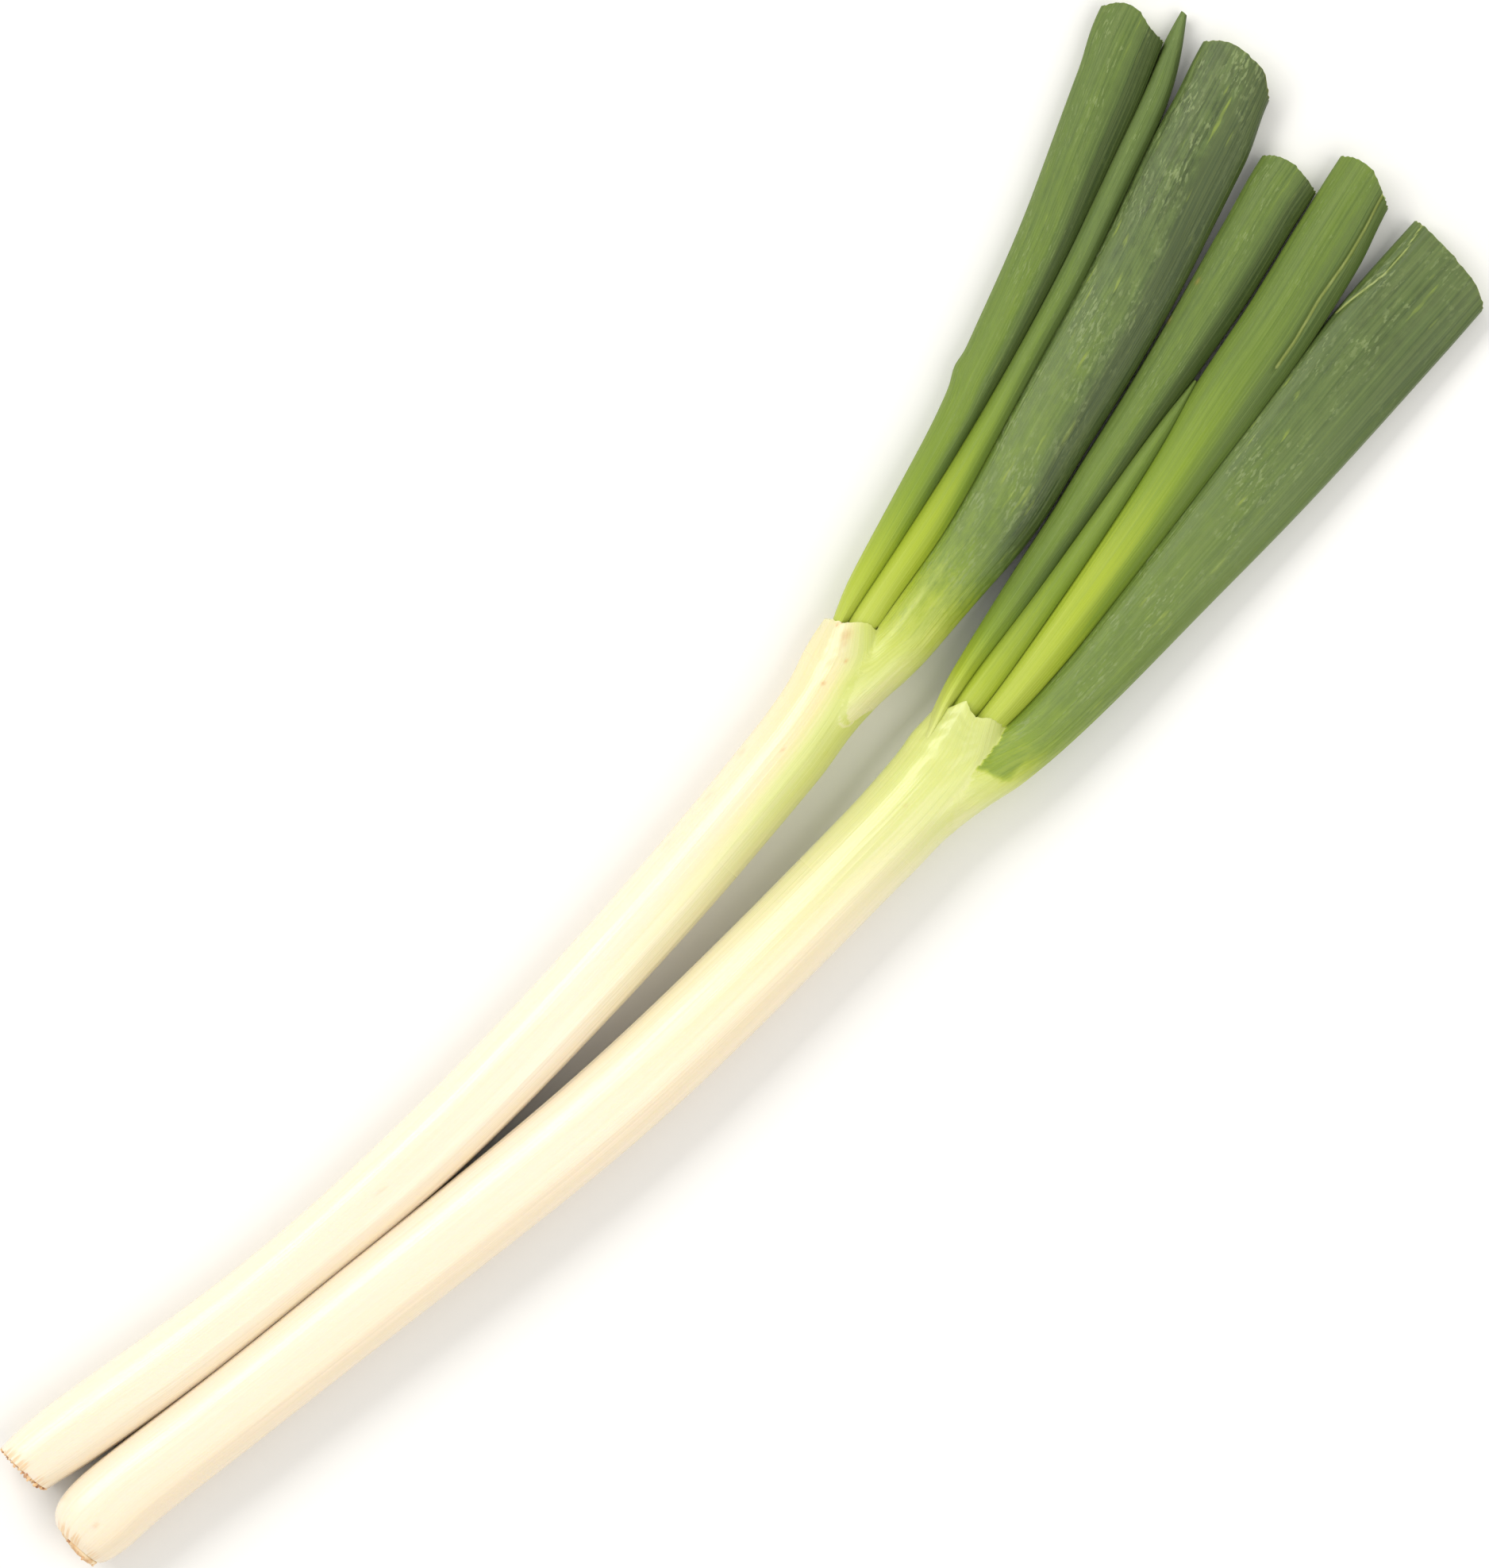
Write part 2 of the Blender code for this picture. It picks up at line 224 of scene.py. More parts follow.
def meltCrease(piece, points, crease, style):
    # lets sheath and blade flow into each other below the armpit, and keeps the crease above it
    edges = np.empty(len(piece.data.edges) * 2, np.int32)
    piece.data.edges.foreach_get("vertices", edges)
    a, b = edges.reshape(-1, 2).T
    size = len(points)
    count = np.maximum(np.bincount(a, minlength=size) + np.bincount(b, minlength=size), 1)
    lower, upper = style["armpit"] - style["keptBelow"], style["armpit"] + style["keptAbove"]
    fade = 1 - style["keptCrease"] * smoothStep(lower, upper, points[:, 0])
    fade = fade * smoothStep(style["meltFrom"], style["meltFrom"] + style["meltFade"], points[:, 0])
    weight = (np.exp(-(crease / style["meltReach"]) ** 2) * fade)[:, None]
    for _ in range(style["meltRounds"]):
        around = np.zeros_like(points)
        np.add.at(around, a, points[b])
        np.add.at(around, b, points[a])
        points = points + style["meltPull"] * weight * (around / count[:, None] - points)
    return points


reliefLook = {"facetLength": 95, "facetsRound": 1.6, "ribLength": 160, "ribsRound": 7, "least": 0.3}


def relief(points, u, v, facets, ribs, seed):
    # long shallow facets and fine ribs that run along a leaf, in mm
    turn = np.arctan2(v, u)

    def around(length, count):
        return np.stack([points[:, 0] / length, np.cos(turn) * count, np.sin(turn) * count], axis=1)

    ring = around(reliefLook["facetLength"], reliefLook["facetsRound"])
    fine = around(reliefLook["ribLength"], reliefLook["ribsRound"])
    lift = facets * softNoise(ring, 1.0, seed) + ribs * softNoise(fine, 1.0, seed + 3)
    length = np.maximum(np.hypot(u, v), reliefLook["least"])
    points[:, 1] += lift * u / length
    points[:, 2] += lift * v / length
    return points


leftShaft = [
    (-232.6, 24.9, 9.2, 1.6, 16.6), (-229, 24.8, 8.2, 0.6, 17.4), (-224, 24.3, 6.6, 0.2, 17.8),
    (-206, 21.3, 2.0, 0, 18.8),
    (-183, 15.5, -2.9, 0, 18.4), (-148, 9.2, -8.4, 0, 18.0), (-112, 5.5, -13.8, 0, 19.0),
    (-77, 3.5, -16.1, 0, 19.6), (-18, 3.0, -17.1, 0, 20), (29, 4.8, -15.8, 0, 20),
    (43, 6.4, -15.0, 0.2, 19.6), (52, 8.3, -14.3, 0.6, 18.8), (60, 9.5, -12.3, 1.4, 17.6),
    (68.4, 10.4, -2.6, 2.6, 16.2)]
leftOuterBlade = [
    (30, -5, -15.0, 4, 16), (40, -2.4, -14.6, 1.6, 18.0), (50, -1.2, -14.3, 0.6, 18.4),
    (60, -0.6, -15.1, 0.2, 17.8), (70, 0.3, -15.8, 0, 16.9), (84, 1.8, -15.4, 0, 15.8),
    (99, 3.7, -15.2, 0, 15), (111, 6.2, -15.1, 0, 14.5), (123, 9.3, -13.4, 0, 14),
    (134, 12.1, -10.9, 0, 13.5), (158, 17.5, -6.9, 0, 12.6), (182, 22.8, -1.6, 0, 12),
    (205, 29.7, 4.7, 0, 11.2), (229, 35.1, 11.4, 0, 10.4), (238.8, 37.0, 14.6, 0.2, 10)]
leftMiddleBlade = [
    (28, 1.6, -6.5, 5, 15.2), (46, 3.8, -1.5, 3.6, 15.6), (56, 5.9, 2.6, 3.5, 15.6),
    (61, 7.9, 4.2, 3.4, 15.5), (67, 10.7, 5.3, 3.1, 15.0), (76, 13.3, 6.4, 2.6, 14.6),
    (99, 18.9, 10.0, 1, 13.8), (123, 24.9, 13.9, 0, 13), (132, 28.4, 16.0, 0, 12.8),
    (146, 32.7, 18.9, 0, 12.6), (170, 40.7, 25.0, 0, 12), (193, 49.9, 32.4, 0, 11.4),
    (217, 59.2, 40.0, 0, 10.6), (228.9, 62.2, 44.2, 0, 10.2)]
leftInnerBlade = [
    (50, 2.6, -4.6, 4, 15.2), (56, 4.6, -3.6, 3.8, 15.4), (62, 5.8, -2.8, 3.6, 15.4),
    (68, 6.8, -2.0, 3.4, 15.2), (76, 7.9, -0.6, 2.8, 14.8), (99, 11.4, 2.0, 1.5, 14.0),
    (123, 15.4, 7.6, 0.8, 13.6), (146, 20.4, 13.2, 0.6, 12.8), (170, 26.4, 18.8, 0.3, 11.6),
    (193, 33.4, 25.6, 0, 10.0), (217, 40.6, 33.0, 0, 8.0), (228, 44.4, 38.4, 0.2, 6.6),
    (234, 46.4, 42.2, 0.8, 5.4), (236.6, 46.2, 44.4, 1.8, 4.2)]
rightShaft = [
    (-237.6, 1.9, -13.2, 2.2, 16.8), (-235.6, 4.0, -14.4, 1.2, 18.4), (-232.8, 5.2, -15.3, 0.5, 19.4),
    (-227.7, 5.6, -16.2, 0, 20.0),
    (-218, 4.5, -16.9, 0, 20.4), (-195, 0.1, -21.2, 0, 20.8), (-171, -4.2, -25.3, 0, 20.8),
    (-148, -7.6, -29.4, 0, 21.2), (-112, -13.7, -35.8, 0, 21.8), (-65, -20.5, -43.1, 0, 22),
    (-18, -24.1, -46.9, 0, 22), (29, -26.1, -49.2, 0, 22), (43, -26.0, -50.2, 0.1, 21.8),
    (52, -25.6, -50.6, 0.5, 20.8), (60, -25.0, -49.6, 1.2, 19.6), (66, -25.1, -46.0, 1.9, 18.6),
    (72, -25.2, -42.0, 2.6, 17.8)]
rightOuterBlade = [
    (28, -35, -48.4, 3.5, 18), (40, -36.0, -49.8, 1.6, 19.6), (50, -36.8, -51.6, 0.6, 19.4),
    (60, -38.0, -54.2, 0.1, 18.2), (72, -40.4, -56.2, 0, 16.6), (84, -41.2, -57.5, 0, 15.5),
    (99, -41.3, -58.5, 0, 14.6), (123, -39.8, -59.4, 0, 13.6), (158, -37.3, -60.9, 0, 12),
    (182, -35.4, -61.3, 0, 11), (205, -33.6, -61.3, 0, 10), (220, -33.3, -61.3, 0, 9.5),
    (236.6, -33.3, -61.1, 0, 9)]
rightSecondBlade = [
    (28, -28.6, -37, 5, 17), (46, -28.6, -34.0, 4.2, 17.2), (55, -27.6, -31.2, 4.0, 17.2),
    (60, -26.4, -29.9, 3.8, 17.0), (66, -23.9, -28.6, 3.5, 16.6), (76, -21.7, -27.3, 3, 15.8),
    (99, -17.6, -26, 1.2, 14), (123, -13.8, -23.7, 0.3, 12.8), (135, -11.2, -22.4, 0, 12.5),
    (146, -9.5, -21.0, 0, 12.2), (170, -4.8, -18.4, 0, 11.6), (193, 0.1, -15.6, 0, 11),
    (217, 5.1, -11.1, 0, 10.2), (226.4, 6.4, -10.0, 0, 10)]
rightThirdBlade = [
    (28, -36.5, -44.0, 5.5, 16.5), (46, -35.0, -42.6, 4.6, 17.0), (58, -34.4, -42.0, 4.4, 17.0),
    (70, -33.9, -42.0, 3.6, 16.4), (76, -33.4, -42.4, 3, 16.0), (88, -32.1, -42.7, 2, 15.4),
    (99, -30.7, -42.5, 1.2, 14.8), (123, -27.4, -41.2, 0, 14.0), (146, -24.0, -39.4, 0, 13.2),
    (170, -19.2, -37.4, 0, 12.6), (193, -16.1, -34.8, 0, 12), (217, -11.5, -30.8, 0, 11.4),
    (238.4, -8.4, -26.2, 0.2, 10.8)]
rightInnerBlade = [
    (50, -31.0, -37.0, 5.2, 16.8), (58, -29.2, -35.8, 5, 16.8), (66, -27.6, -35.2, 4.4, 16.2),
    (76, -26.2, -34.8, 3.6, 15.6), (99, -24.6, -32.0, 2.4, 14.2), (123, -22.2, -28.8, 1.6, 13.2),
    (146, -19.6, -25.2, 1.4, 11.6), (160, -18.6, -22.4, 2.2, 10), (169, -18.4, -19.8, 4, 7.5)]


leafStyle = {"shaftStep": 26, "collarStart": 30, "collarStep": 5.2, "lowStep": 7.28, "bladeStart": 84,
             "bladeStep": 12, "nested": 2.3, "innerMouth": 46.0}


def rootStations(rows):
    # close together where the root end rounds over
    start = rows[0][0]
    close = [start, start + 1.6, start + 4, start + 9]
    return close + spread(start + 18, leafStyle["collarStart"], leafStyle["shaftStep"])


def shaftStations(rows, end):
    return rootStations(rows) + spread(leafStyle["collarStart"], end, leafStyle["collarStep"])[1:]


def bladeStations(rows):
    low = spread(rows[0][0], leafStyle["bladeStart"], leafStyle["lowStep"])
    return low + spread(leafStyle["bladeStart"], rows[-1][0], leafStyle["bladeStep"])[1:]


knife = {"reach": 22, "edge": 4, "short": 0.4, "tear": 0.4, "fineTear": 0.12}


def cutShape(points, u, v, on, rows, cut):
    # the knife's line across a blade: five x from the -Y side to the +Y side, and a slightly torn edge
    places = np.linspace(-1, 1, 41)
    keys = list(zip((-1, -0.5, 0, 0.5, 1), cut))
    line = [smoothRow(keys, place)[1] for place in places]
    lineX = np.interp(np.clip(u, -1, 1), places, line)
    across = np.stack([np.zeros(len(u)), u * 11, v * 11], axis=1)
    torn = knife["tear"] * softNoise(across, 0.6, 9.0) + knife["fineTear"] * softNoise(across, 1.8, 4.0)
    end = rows[-1][0]
    pull = smoothStep(end - knife["reach"], end, points[:, 0]) * on
    edge = smoothStep(end - knife["edge"], end, points[:, 0]) * on
    points[:, 0] += (lineX - end - knife["short"]) * pull + torn * edge
    return points


def squareUp(points, u, v, on, rows, power):
    # swells the shoulders of an oval section towards a rounded square
    wide, high = rowsAt(rows, points[:, 0])[2:]
    angle = np.arctan2(v, u)
    shoulder = (np.abs(np.cos(angle)) ** power + np.abs(np.sin(angle)) ** power) ** (-1 / power) - 1
    points[:, 1] += shoulder * u * wide * on
    points[:, 2] += shoulder * v * high * on
    return points


def nearLine(points, line):
    # distance in plan to a line of (x, y) points
    xs, ys = zip(*line)
    gap = np.abs(points[:, 1] - np.interp(points[:, 0], xs, ys))
    slope = (ys[-1] - ys[0]) / (xs[-1] - xs[0])
    beyond = np.maximum(xs[0] - points[:, 0], 0) + np.maximum(points[:, 0] - xs[-1], 0)
    return np.hypot(gap / math.hypot(1, slope), beyond)


def collarFolds(points, v, off, style):
    # curved wrinkles that gather towards the armpit
    px, py = style["foldsFrom"]
    reach = np.hypot(points[:, 0] - px, points[:, 1] - py)
    turn = np.arctan2(points[:, 1] - py, points[:, 0] - px)
    wobble = softNoise(points / 14, 1.0, 8.0)
    fold = np.sin(turn * 17 + wobble * 2.4 + reach * 0.05)
    near = smoothStep(3, 10, reach) * (1 - smoothStep(24, 42, reach))
    points[:, 2] += style["folds"] * fold * near * np.clip(v, 0, 1) * off
    return points


rimLook = {"reach": 26, "ruffle": 0.35, "fineRuffle": 0.2}


def rimShape(points, u, v, on, rows, rim, reach):
    # the sheath's edge, drawn back from its end plane: offsets by the place across
    keys, offsets = zip(*rim)
    shift = np.interp(u, keys, offsets)
    across = np.stack([np.zeros(len(u)), u * 8, v * 8], axis=1)
    ruffle = rimLook["ruffle"] * softNoise(across, 1.0, 5.0)
    ruffle += rimLook["fineRuffle"] * softNoise(across, 2.9, 6.0)
    end = rows[-1][0]
    pull = smoothStep(end - reach, end, points[:, 0]) * on
    points[:, 0] += (shift + ruffle) * pull
    return points


def addWall(leaf, thickness, weights):
    group = leaf.vertex_groups.new(name="wall")
    for i, w in enumerate(weights):
        group.add([i], float(w), "REPLACE")
    wall = leaf.modifiers.new("wall", "SOLIDIFY")
    wall.thickness = thickness * mm
    wall.offset = -1
    wall.vertex_group = "wall"
    wall.thickness_vertex_group = 0.0
    wall.use_rim = True
    wall.material_offset = 1
    wall.material_offset_rim = 1
    applyAll(leaf)


def shadeSmooth(piece, degrees=50):
    makeActive(piece)
    bpy.ops.object.shade_smooth_by_angle(angle=math.radians(degrees))


def pressedBy(tube, rows, d):
    # takes the room of a neighbouring blade, less d, out of a closed tube
    neighbour = leafTube("neighbour", inset(rows, d), bladeStations(rows), 2)
    capEnds(neighbour)
    cut = tube.modifiers.new("press", "BOOLEAN")
    cut.object = neighbour
    cut.operation = "DIFFERENCE"
    cut.solver = "EXACT"
    applyAll(tube)
    bpy.data.objects.remove(neighbour, do_unlink=True)


def makeLeaf(name, sheath, blade, style):
    # sheath and blade are joined and their ends are opened; the skin gets its wall later, in finishLeaf
    mouth = style["mouth"]
    leaf = leafTube(name, sheath, shaftStations(sheath, mouth))
    part = leafTube(name + "Blade", blade, bladeStations(blade))
    capEnds(leaf)
    capEnds(part)
    joinTubes(leaf, part)
    openEnds(leaf, (sheath[0][0], mouth, blade[-1][0]))
    points = readPoints(leaf)
    isBlade, u, v, crease = flowOf(points, sheath, blade, style["split"])
    points = meltCrease(leaf, points, crease, style)
    if style.get("flat"):
        upBlade = isBlade * smoothStep(76, 116, points[:, 0])
        points = squareUp(points, u, v, upBlade, blade, style["flat"])
    if style.get("press"):
        # the two shafts lie pressed together, so both are a little square there
        shaftPart = (1 - isBlade) * (1 - smoothStep(-110, 20, points[:, 0]))
        points = squareUp(points, u, v, shaftPart, sheath, style["press"])
    points = relief(points, u, v, style["facets"], style["ribs"], style["seed"])
    if style.get("folds"):
        points = collarFolds(points, v, 1 - isBlade, style)
    if style.get("knee"):
        kneeX, swell, reach = style["knee"]   # a small swelling on the outer side
        bulge = swell * np.exp(-((points[:, 0] - kneeX) / reach) ** 2)
        points[:, 1] += bulge * np.clip(u, 0, 1) ** 2 * isBlade
    mark = np.zeros(len(points))
    for line, depth, reach in style.get("slits", ()):
        near = np.exp(-(nearLine(points, line) / reach) ** 2) * (v > 0) * isBlade
        points[:, 2] -= depth * near
        mark = np.maximum(mark, near)
    for line, height, reach in style.get("ridges", ()):
        points[:, 2] += height * np.exp(-(nearLine(points, line) / reach) ** 2) * (v > 0)
    if style.get("rim"):
        points = rimShape(points, u, v, 1 - isBlade, sheath, style["rim"], rimLook["reach"])
    points = cutShape(points, u, v, isBlade, blade, style["cut"])
    writePoints(leaf, points)
    storeValue(leaf, "slit", mark)
    storeVector(leaf, "flow", np.stack([points[:, 0], u * 10, v * 10], axis=1) * mm)
    return leaf, points, isBlade, u, v


thinning = {"rimFrom": 24, "rimTo": 8, "cutFrom": 40, "atCut": 0.35, "least": 0.05}


def thinEdges(points, isBlade, blade, style):
    # full wall along the leaf, thinner at the sheath's edge and at the cut
    mouth, end = style["mouth"], blade[-1][0]
    atRim = smoothStep(mouth - thinning["rimFrom"], mouth - thinning["rimTo"], points[:, 0]) * (1 - isBlade)
    atCut = smoothStep(end - thinning["cutFrom"], end, points[:, 0]) * isBlade
    return np.clip(1 - atRim * (1 - style["edge"]) - atCut * thinning["atCut"], thinning["least"], 1)


print("leaves")
melt = {"meltFrom": 30, "meltFade": 18, "meltReach": 0.42, "meltRounds": 220, "meltPull": 0.6,
        "keptCrease": 0.95, "keptBelow": 7, "keptAbove": 2}
outerLeaf = melt | {"wall": 1.5, "armpit": 62, "press": 2.4, "edge": 0.3}
nestedLeaf = melt | {"mouth": 46.0, "split": (34, 60), "facets": 0.3, "ribs": 0.06, "wall": 1.3,
                     "armpit": 46, "edge": 0.8}
leftOuterStyle = outerLeaf | {
    "mouth": 68.4, "split": (34, 74), "facets": 0.35, "ribs": 0.07, "seed": 2.0,
    "rim": [(-1, 0), (-0.5, 0), (-0.3, -0.4), (0.3, -4.4), (0.7, -5.8), (1, -6.8)],
    "cut": [234.6, 238.6, 239.1, 238.5, 234.8],
    "folds": 0.05, "foldsFrom": (66, -2)}
leftMiddleStyle = nestedLeaf | {
    "seed": 11.0, "cut": [227.8, 227.6, 228.8, 228.2, 224.2], "knee": (131, 0.9, 3.2)}
rightOuterStyle = outerLeaf | {
    "mouth": 72.0, "split": (34, 78), "facets": 0.4, "ribs": 0.08, "seed": 23.0, "flat": 2.7,
    "rim": [(-1, 0), (-0.8, 0), (-0.4, -1.6), (-0.1, -3.7), (0.2, -3.2), (0.42, -1.9), (0.55, -4.2),
            (0.75, -7.4), (1, -9.8)],
    "cut": [231.4, 234.8, 236.0, 236.7, 236.9],
    "folds": 0.12, "foldsFrom": (70, -42),
    "slits": [([(205, -33.9), (211, -34.6), (217, -35.8), (222, -36.6), (229, -36.4), (237, -35.2)],
               0.7, 0.4)],
    "ridges": [([(50, -49.3), (66, -53.1), (81, -55.4), (100, -57)], 0.5, 1.4)]}
rightSecondStyle = nestedLeaf | {"seed": 31.0, "cut": [225.2, 225.8, 226.3, 225.6, 223.3]}
rightThirdStyle = nestedLeaf | {
    "seed": 43.0, "cut": [234.4, 236.3, 238.2, 238.2, 236.4],
    "slits": [([(185, -31.9), (193, -30.9), (205, -28.4), (217, -27), (229, -24.9), (239, -22.6)],
               1.2, 0.55)]}


def cutRows(rows, end):
    return [r for r in rows if r[0] < end - 1] + [smoothRow(rows, end)]


innerMouth = leafStyle["innerMouth"]
nested = leafStyle["nested"]
leftNested = inset(cutRows(leftShaft, innerMouth), nested)
rightNested = inset(cutRows(rightShaft, innerMouth), nested)
rightNestedTwice = inset(cutRows(rightShaft, innerMouth), 2 * nested)


def finishLeaf(leaf, points, isBlade, blade, style):
    addWall(leaf, style["wall"], thinEdges(points, isBlade, blade, style))
    shadeSmooth(leaf)


hollowLeaves = {
    "leftOuterLeaf": (leftShaft, leftOuterBlade, leftOuterStyle),
    "leftMiddleLeaf": (leftNested, leftMiddleBlade, leftMiddleStyle),
    "rightOuterLeaf": (rightShaft, rightOuterBlade, rightOuterStyle),
    "rightSecondLeaf": (rightNested, rightSecondBlade, rightSecondStyle),
    "rightThirdLeaf": (rightNestedTwice, rightThirdBlade, rightThirdStyle)}
leaves = {}
for key, (sheath, blade, style) in hollowLeaves.items():
    leaves[key] = makeLeaf(key, sheath, blade, style)
    print(key, len(leaves[key][0].data.polygons), "faces")


coreStyle = {"shaftEnd": 20, "lowStep": 7, "bladeStep": 9, "pressFrom": 60, "pressGap": 0.1,
             "facets": 0.12, "ribs": 0.04}


def makeCore(name, shaft, depth, blade, neighbours, seed):
    # the youngest leaf: a core in the shaft that runs on into a whole pointed blade
    rows = inset([r for r in shaft if r[0] < coreStyle["shaftEnd"]], depth) + blade
    low = spread(coreStyle["shaftEnd"], leafStyle["bladeStart"], coreStyle["lowStep"])[1:]
    high = spread(leafStyle["bladeStart"], rows[-1][0], coreStyle["bladeStep"])[1:]
    stations = rootStations(rows)[:-1] + low + high
    gapStart, gapEnd = coreStyle["shaftEnd"], coreStyle["shaftEnd"] + 2
    core = leafTube(name, rows, [x for x in stations if x < gapStart or x > gapEnd])
    capEnds(core)
    for neighbour in neighbours:
        pressedBy(core, [r for r in neighbour if r[0] > coreStyle["pressFrom"]], coreStyle["pressGap"])
    points = readPoints(core)
    cy, cz, wide, high = rowsAt(rows, points[:, 0])
    u, v = (points[:, 1] - cy) / wide, (points[:, 2] - cz) / high
    points = relief(points, u, v, coreStyle["facets"], coreStyle["ribs"], seed)
    writePoints(core, points)
    storeValue(core, "slit", np.zeros(len(points)))
    storeVector(core, "flow", np.stack([points[:, 0], u * 10, v * 10], axis=1) * mm)
    shadeSmooth(core)
    return core, points, np.ones(len(points)), u, v


leaves["leftInnerLeaf"] = makeCore("leftInnerLeaf", leftShaft, 2 * nested, leftInnerBlade,
                                   (leftMiddleBlade, leftOuterBlade), 53.0)
leaves["rightInnerLeaf"] = makeCore("rightInnerLeaf", rightShaft, 3 * nested - 0.9, rightInnerBlade,
                                    (rightSecondBlade, rightThirdBlade), 61.0)

# tone runs from cream 0 through lime 0.5 to deep green 1: (x, tone)
toneOf = {
    "leftOuterLeaf": [(-60, 0.0), (-30, 0.06), (10, 0.15), (50, 0.22), (64, 0.3), (80, 0.44), (92, 0.56),
                      (104, 0.7), (135, 0.76), (168, 0.84), (200, 0.95), (240, 0.95)],
    "leftMiddleLeaf": [(50, 0.3), (64, 0.4), (77, 0.46), (90, 0.54), (107, 0.62), (133, 0.7),
                       (160, 0.75), (190, 0.8), (240, 0.84)],
    "leftInnerLeaf": [(50, 0.3), (64, 0.36), (77, 0.42), (107, 0.52), (125, 0.6), (140, 0.7),
                      (180, 0.82), (240, 0.82)],
    "rightOuterLeaf": [(-20, 0.0), (20, 0.12), (50, 0.22), (60, 0.32), (66, 0.46), (74, 0.6), (88, 0.68),
                       (125, 0.74), (155, 0.8), (185, 0.88), (210, 0.93), (240, 0.9)],
    "rightSecondLeaf": [(50, 0.15), (60, 0.24), (68, 0.36), (76, 0.48), (90, 0.62), (100, 0.7),
                        (160, 0.78), (240, 0.8)],
    "rightThirdLeaf": [(50, 0.3), (66, 0.38), (84, 0.42), (116, 0.48), (145, 0.6), (175, 0.7),
                       (206, 0.76), (240, 0.74)],
    "rightInnerLeaf": [(50, 0.3), (66, 0.4), (85, 0.5), (110, 0.6), (140, 0.7), (170, 0.76)]}
# bluish wax on the older blades: (x, amount)
bloomOf = {
    "leftOuterLeaf": [(66, 0), (84, 0.5), (110, 0.8), (180, 0.7), (240, 0.9)],
    "leftMiddleLeaf": [(90, 0), (130, 0.35), (170, 0.6), (240, 0.7)],
    "leftInnerLeaf": [(100, 0), (140, 0.6), (190, 0.9), (240, 1.0)],
    "rightOuterLeaf": [(62, 0), (76, 0.6), (110, 0.8), (190, 0.7), (240, 0.6)],
    "rightSecondLeaf": [(60, 0.1), (100, 0.2), (160, 0.5), (240, 0.7)],
    "rightThirdLeaf": [(120, 0), (170, 0.2), (240, 0.45)],
    "rightInnerLeaf": [(70, 0.1), (120, 0.5), (170, 0.7)]}
# painted shade: how much darker green the side away from the light is painted
paintedShadeDepth = {"leftOuterLeaf": 0.3, "leftMiddleLeaf": 0.28, "leftInnerLeaf": 0.14, "rightOuterLeaf": 0.02,
              "rightSecondLeaf": 0.24, "rightThirdLeaf": 0.16, "rightInnerLeaf": 0.05}
# small old marks on the skins: x, y, size, strength
stainsOf = {
    "leftOuterLeaf": [(61.8, 3.5, 1.2, 0.42), (60.0, 2.4, 0.6, 0.3), (62.4, 7.0, 0.28, 0.8),
                      (63.4, 6.4, 0.25, 0.7), (49, -0.3, 0.4, 0.7), (57, -0.8, 0.4, 0.6),
                      (8, 2.2, 0.5, 0.25), (-6, 1.8, 0.45, 0.25), (22, 3.4, 0.5, 0.3),
                      (-120, -3, 0.3, 0.3), (30, -4, 0.25, 0.5)],
    "rightOuterLeaf": [(40, -36, 0.4, 0.2), (-90, -30, 0.3, 0.3), (-230, -6, 0.5, 0.35),
                       (-150, -20, 0.3, 0.25)],
    "rightSecondLeaf": [(176, -3.8, 0.4, 0.3), (188, -2.6, 0.4, 0.3), (217, -12, 0.3, 0.4)]}
stainStretch = 1.6
rootDryLength = 6


def alongOf(stops, x):
    keys, values = zip(*stops)
    return np.interp(x, keys, values)


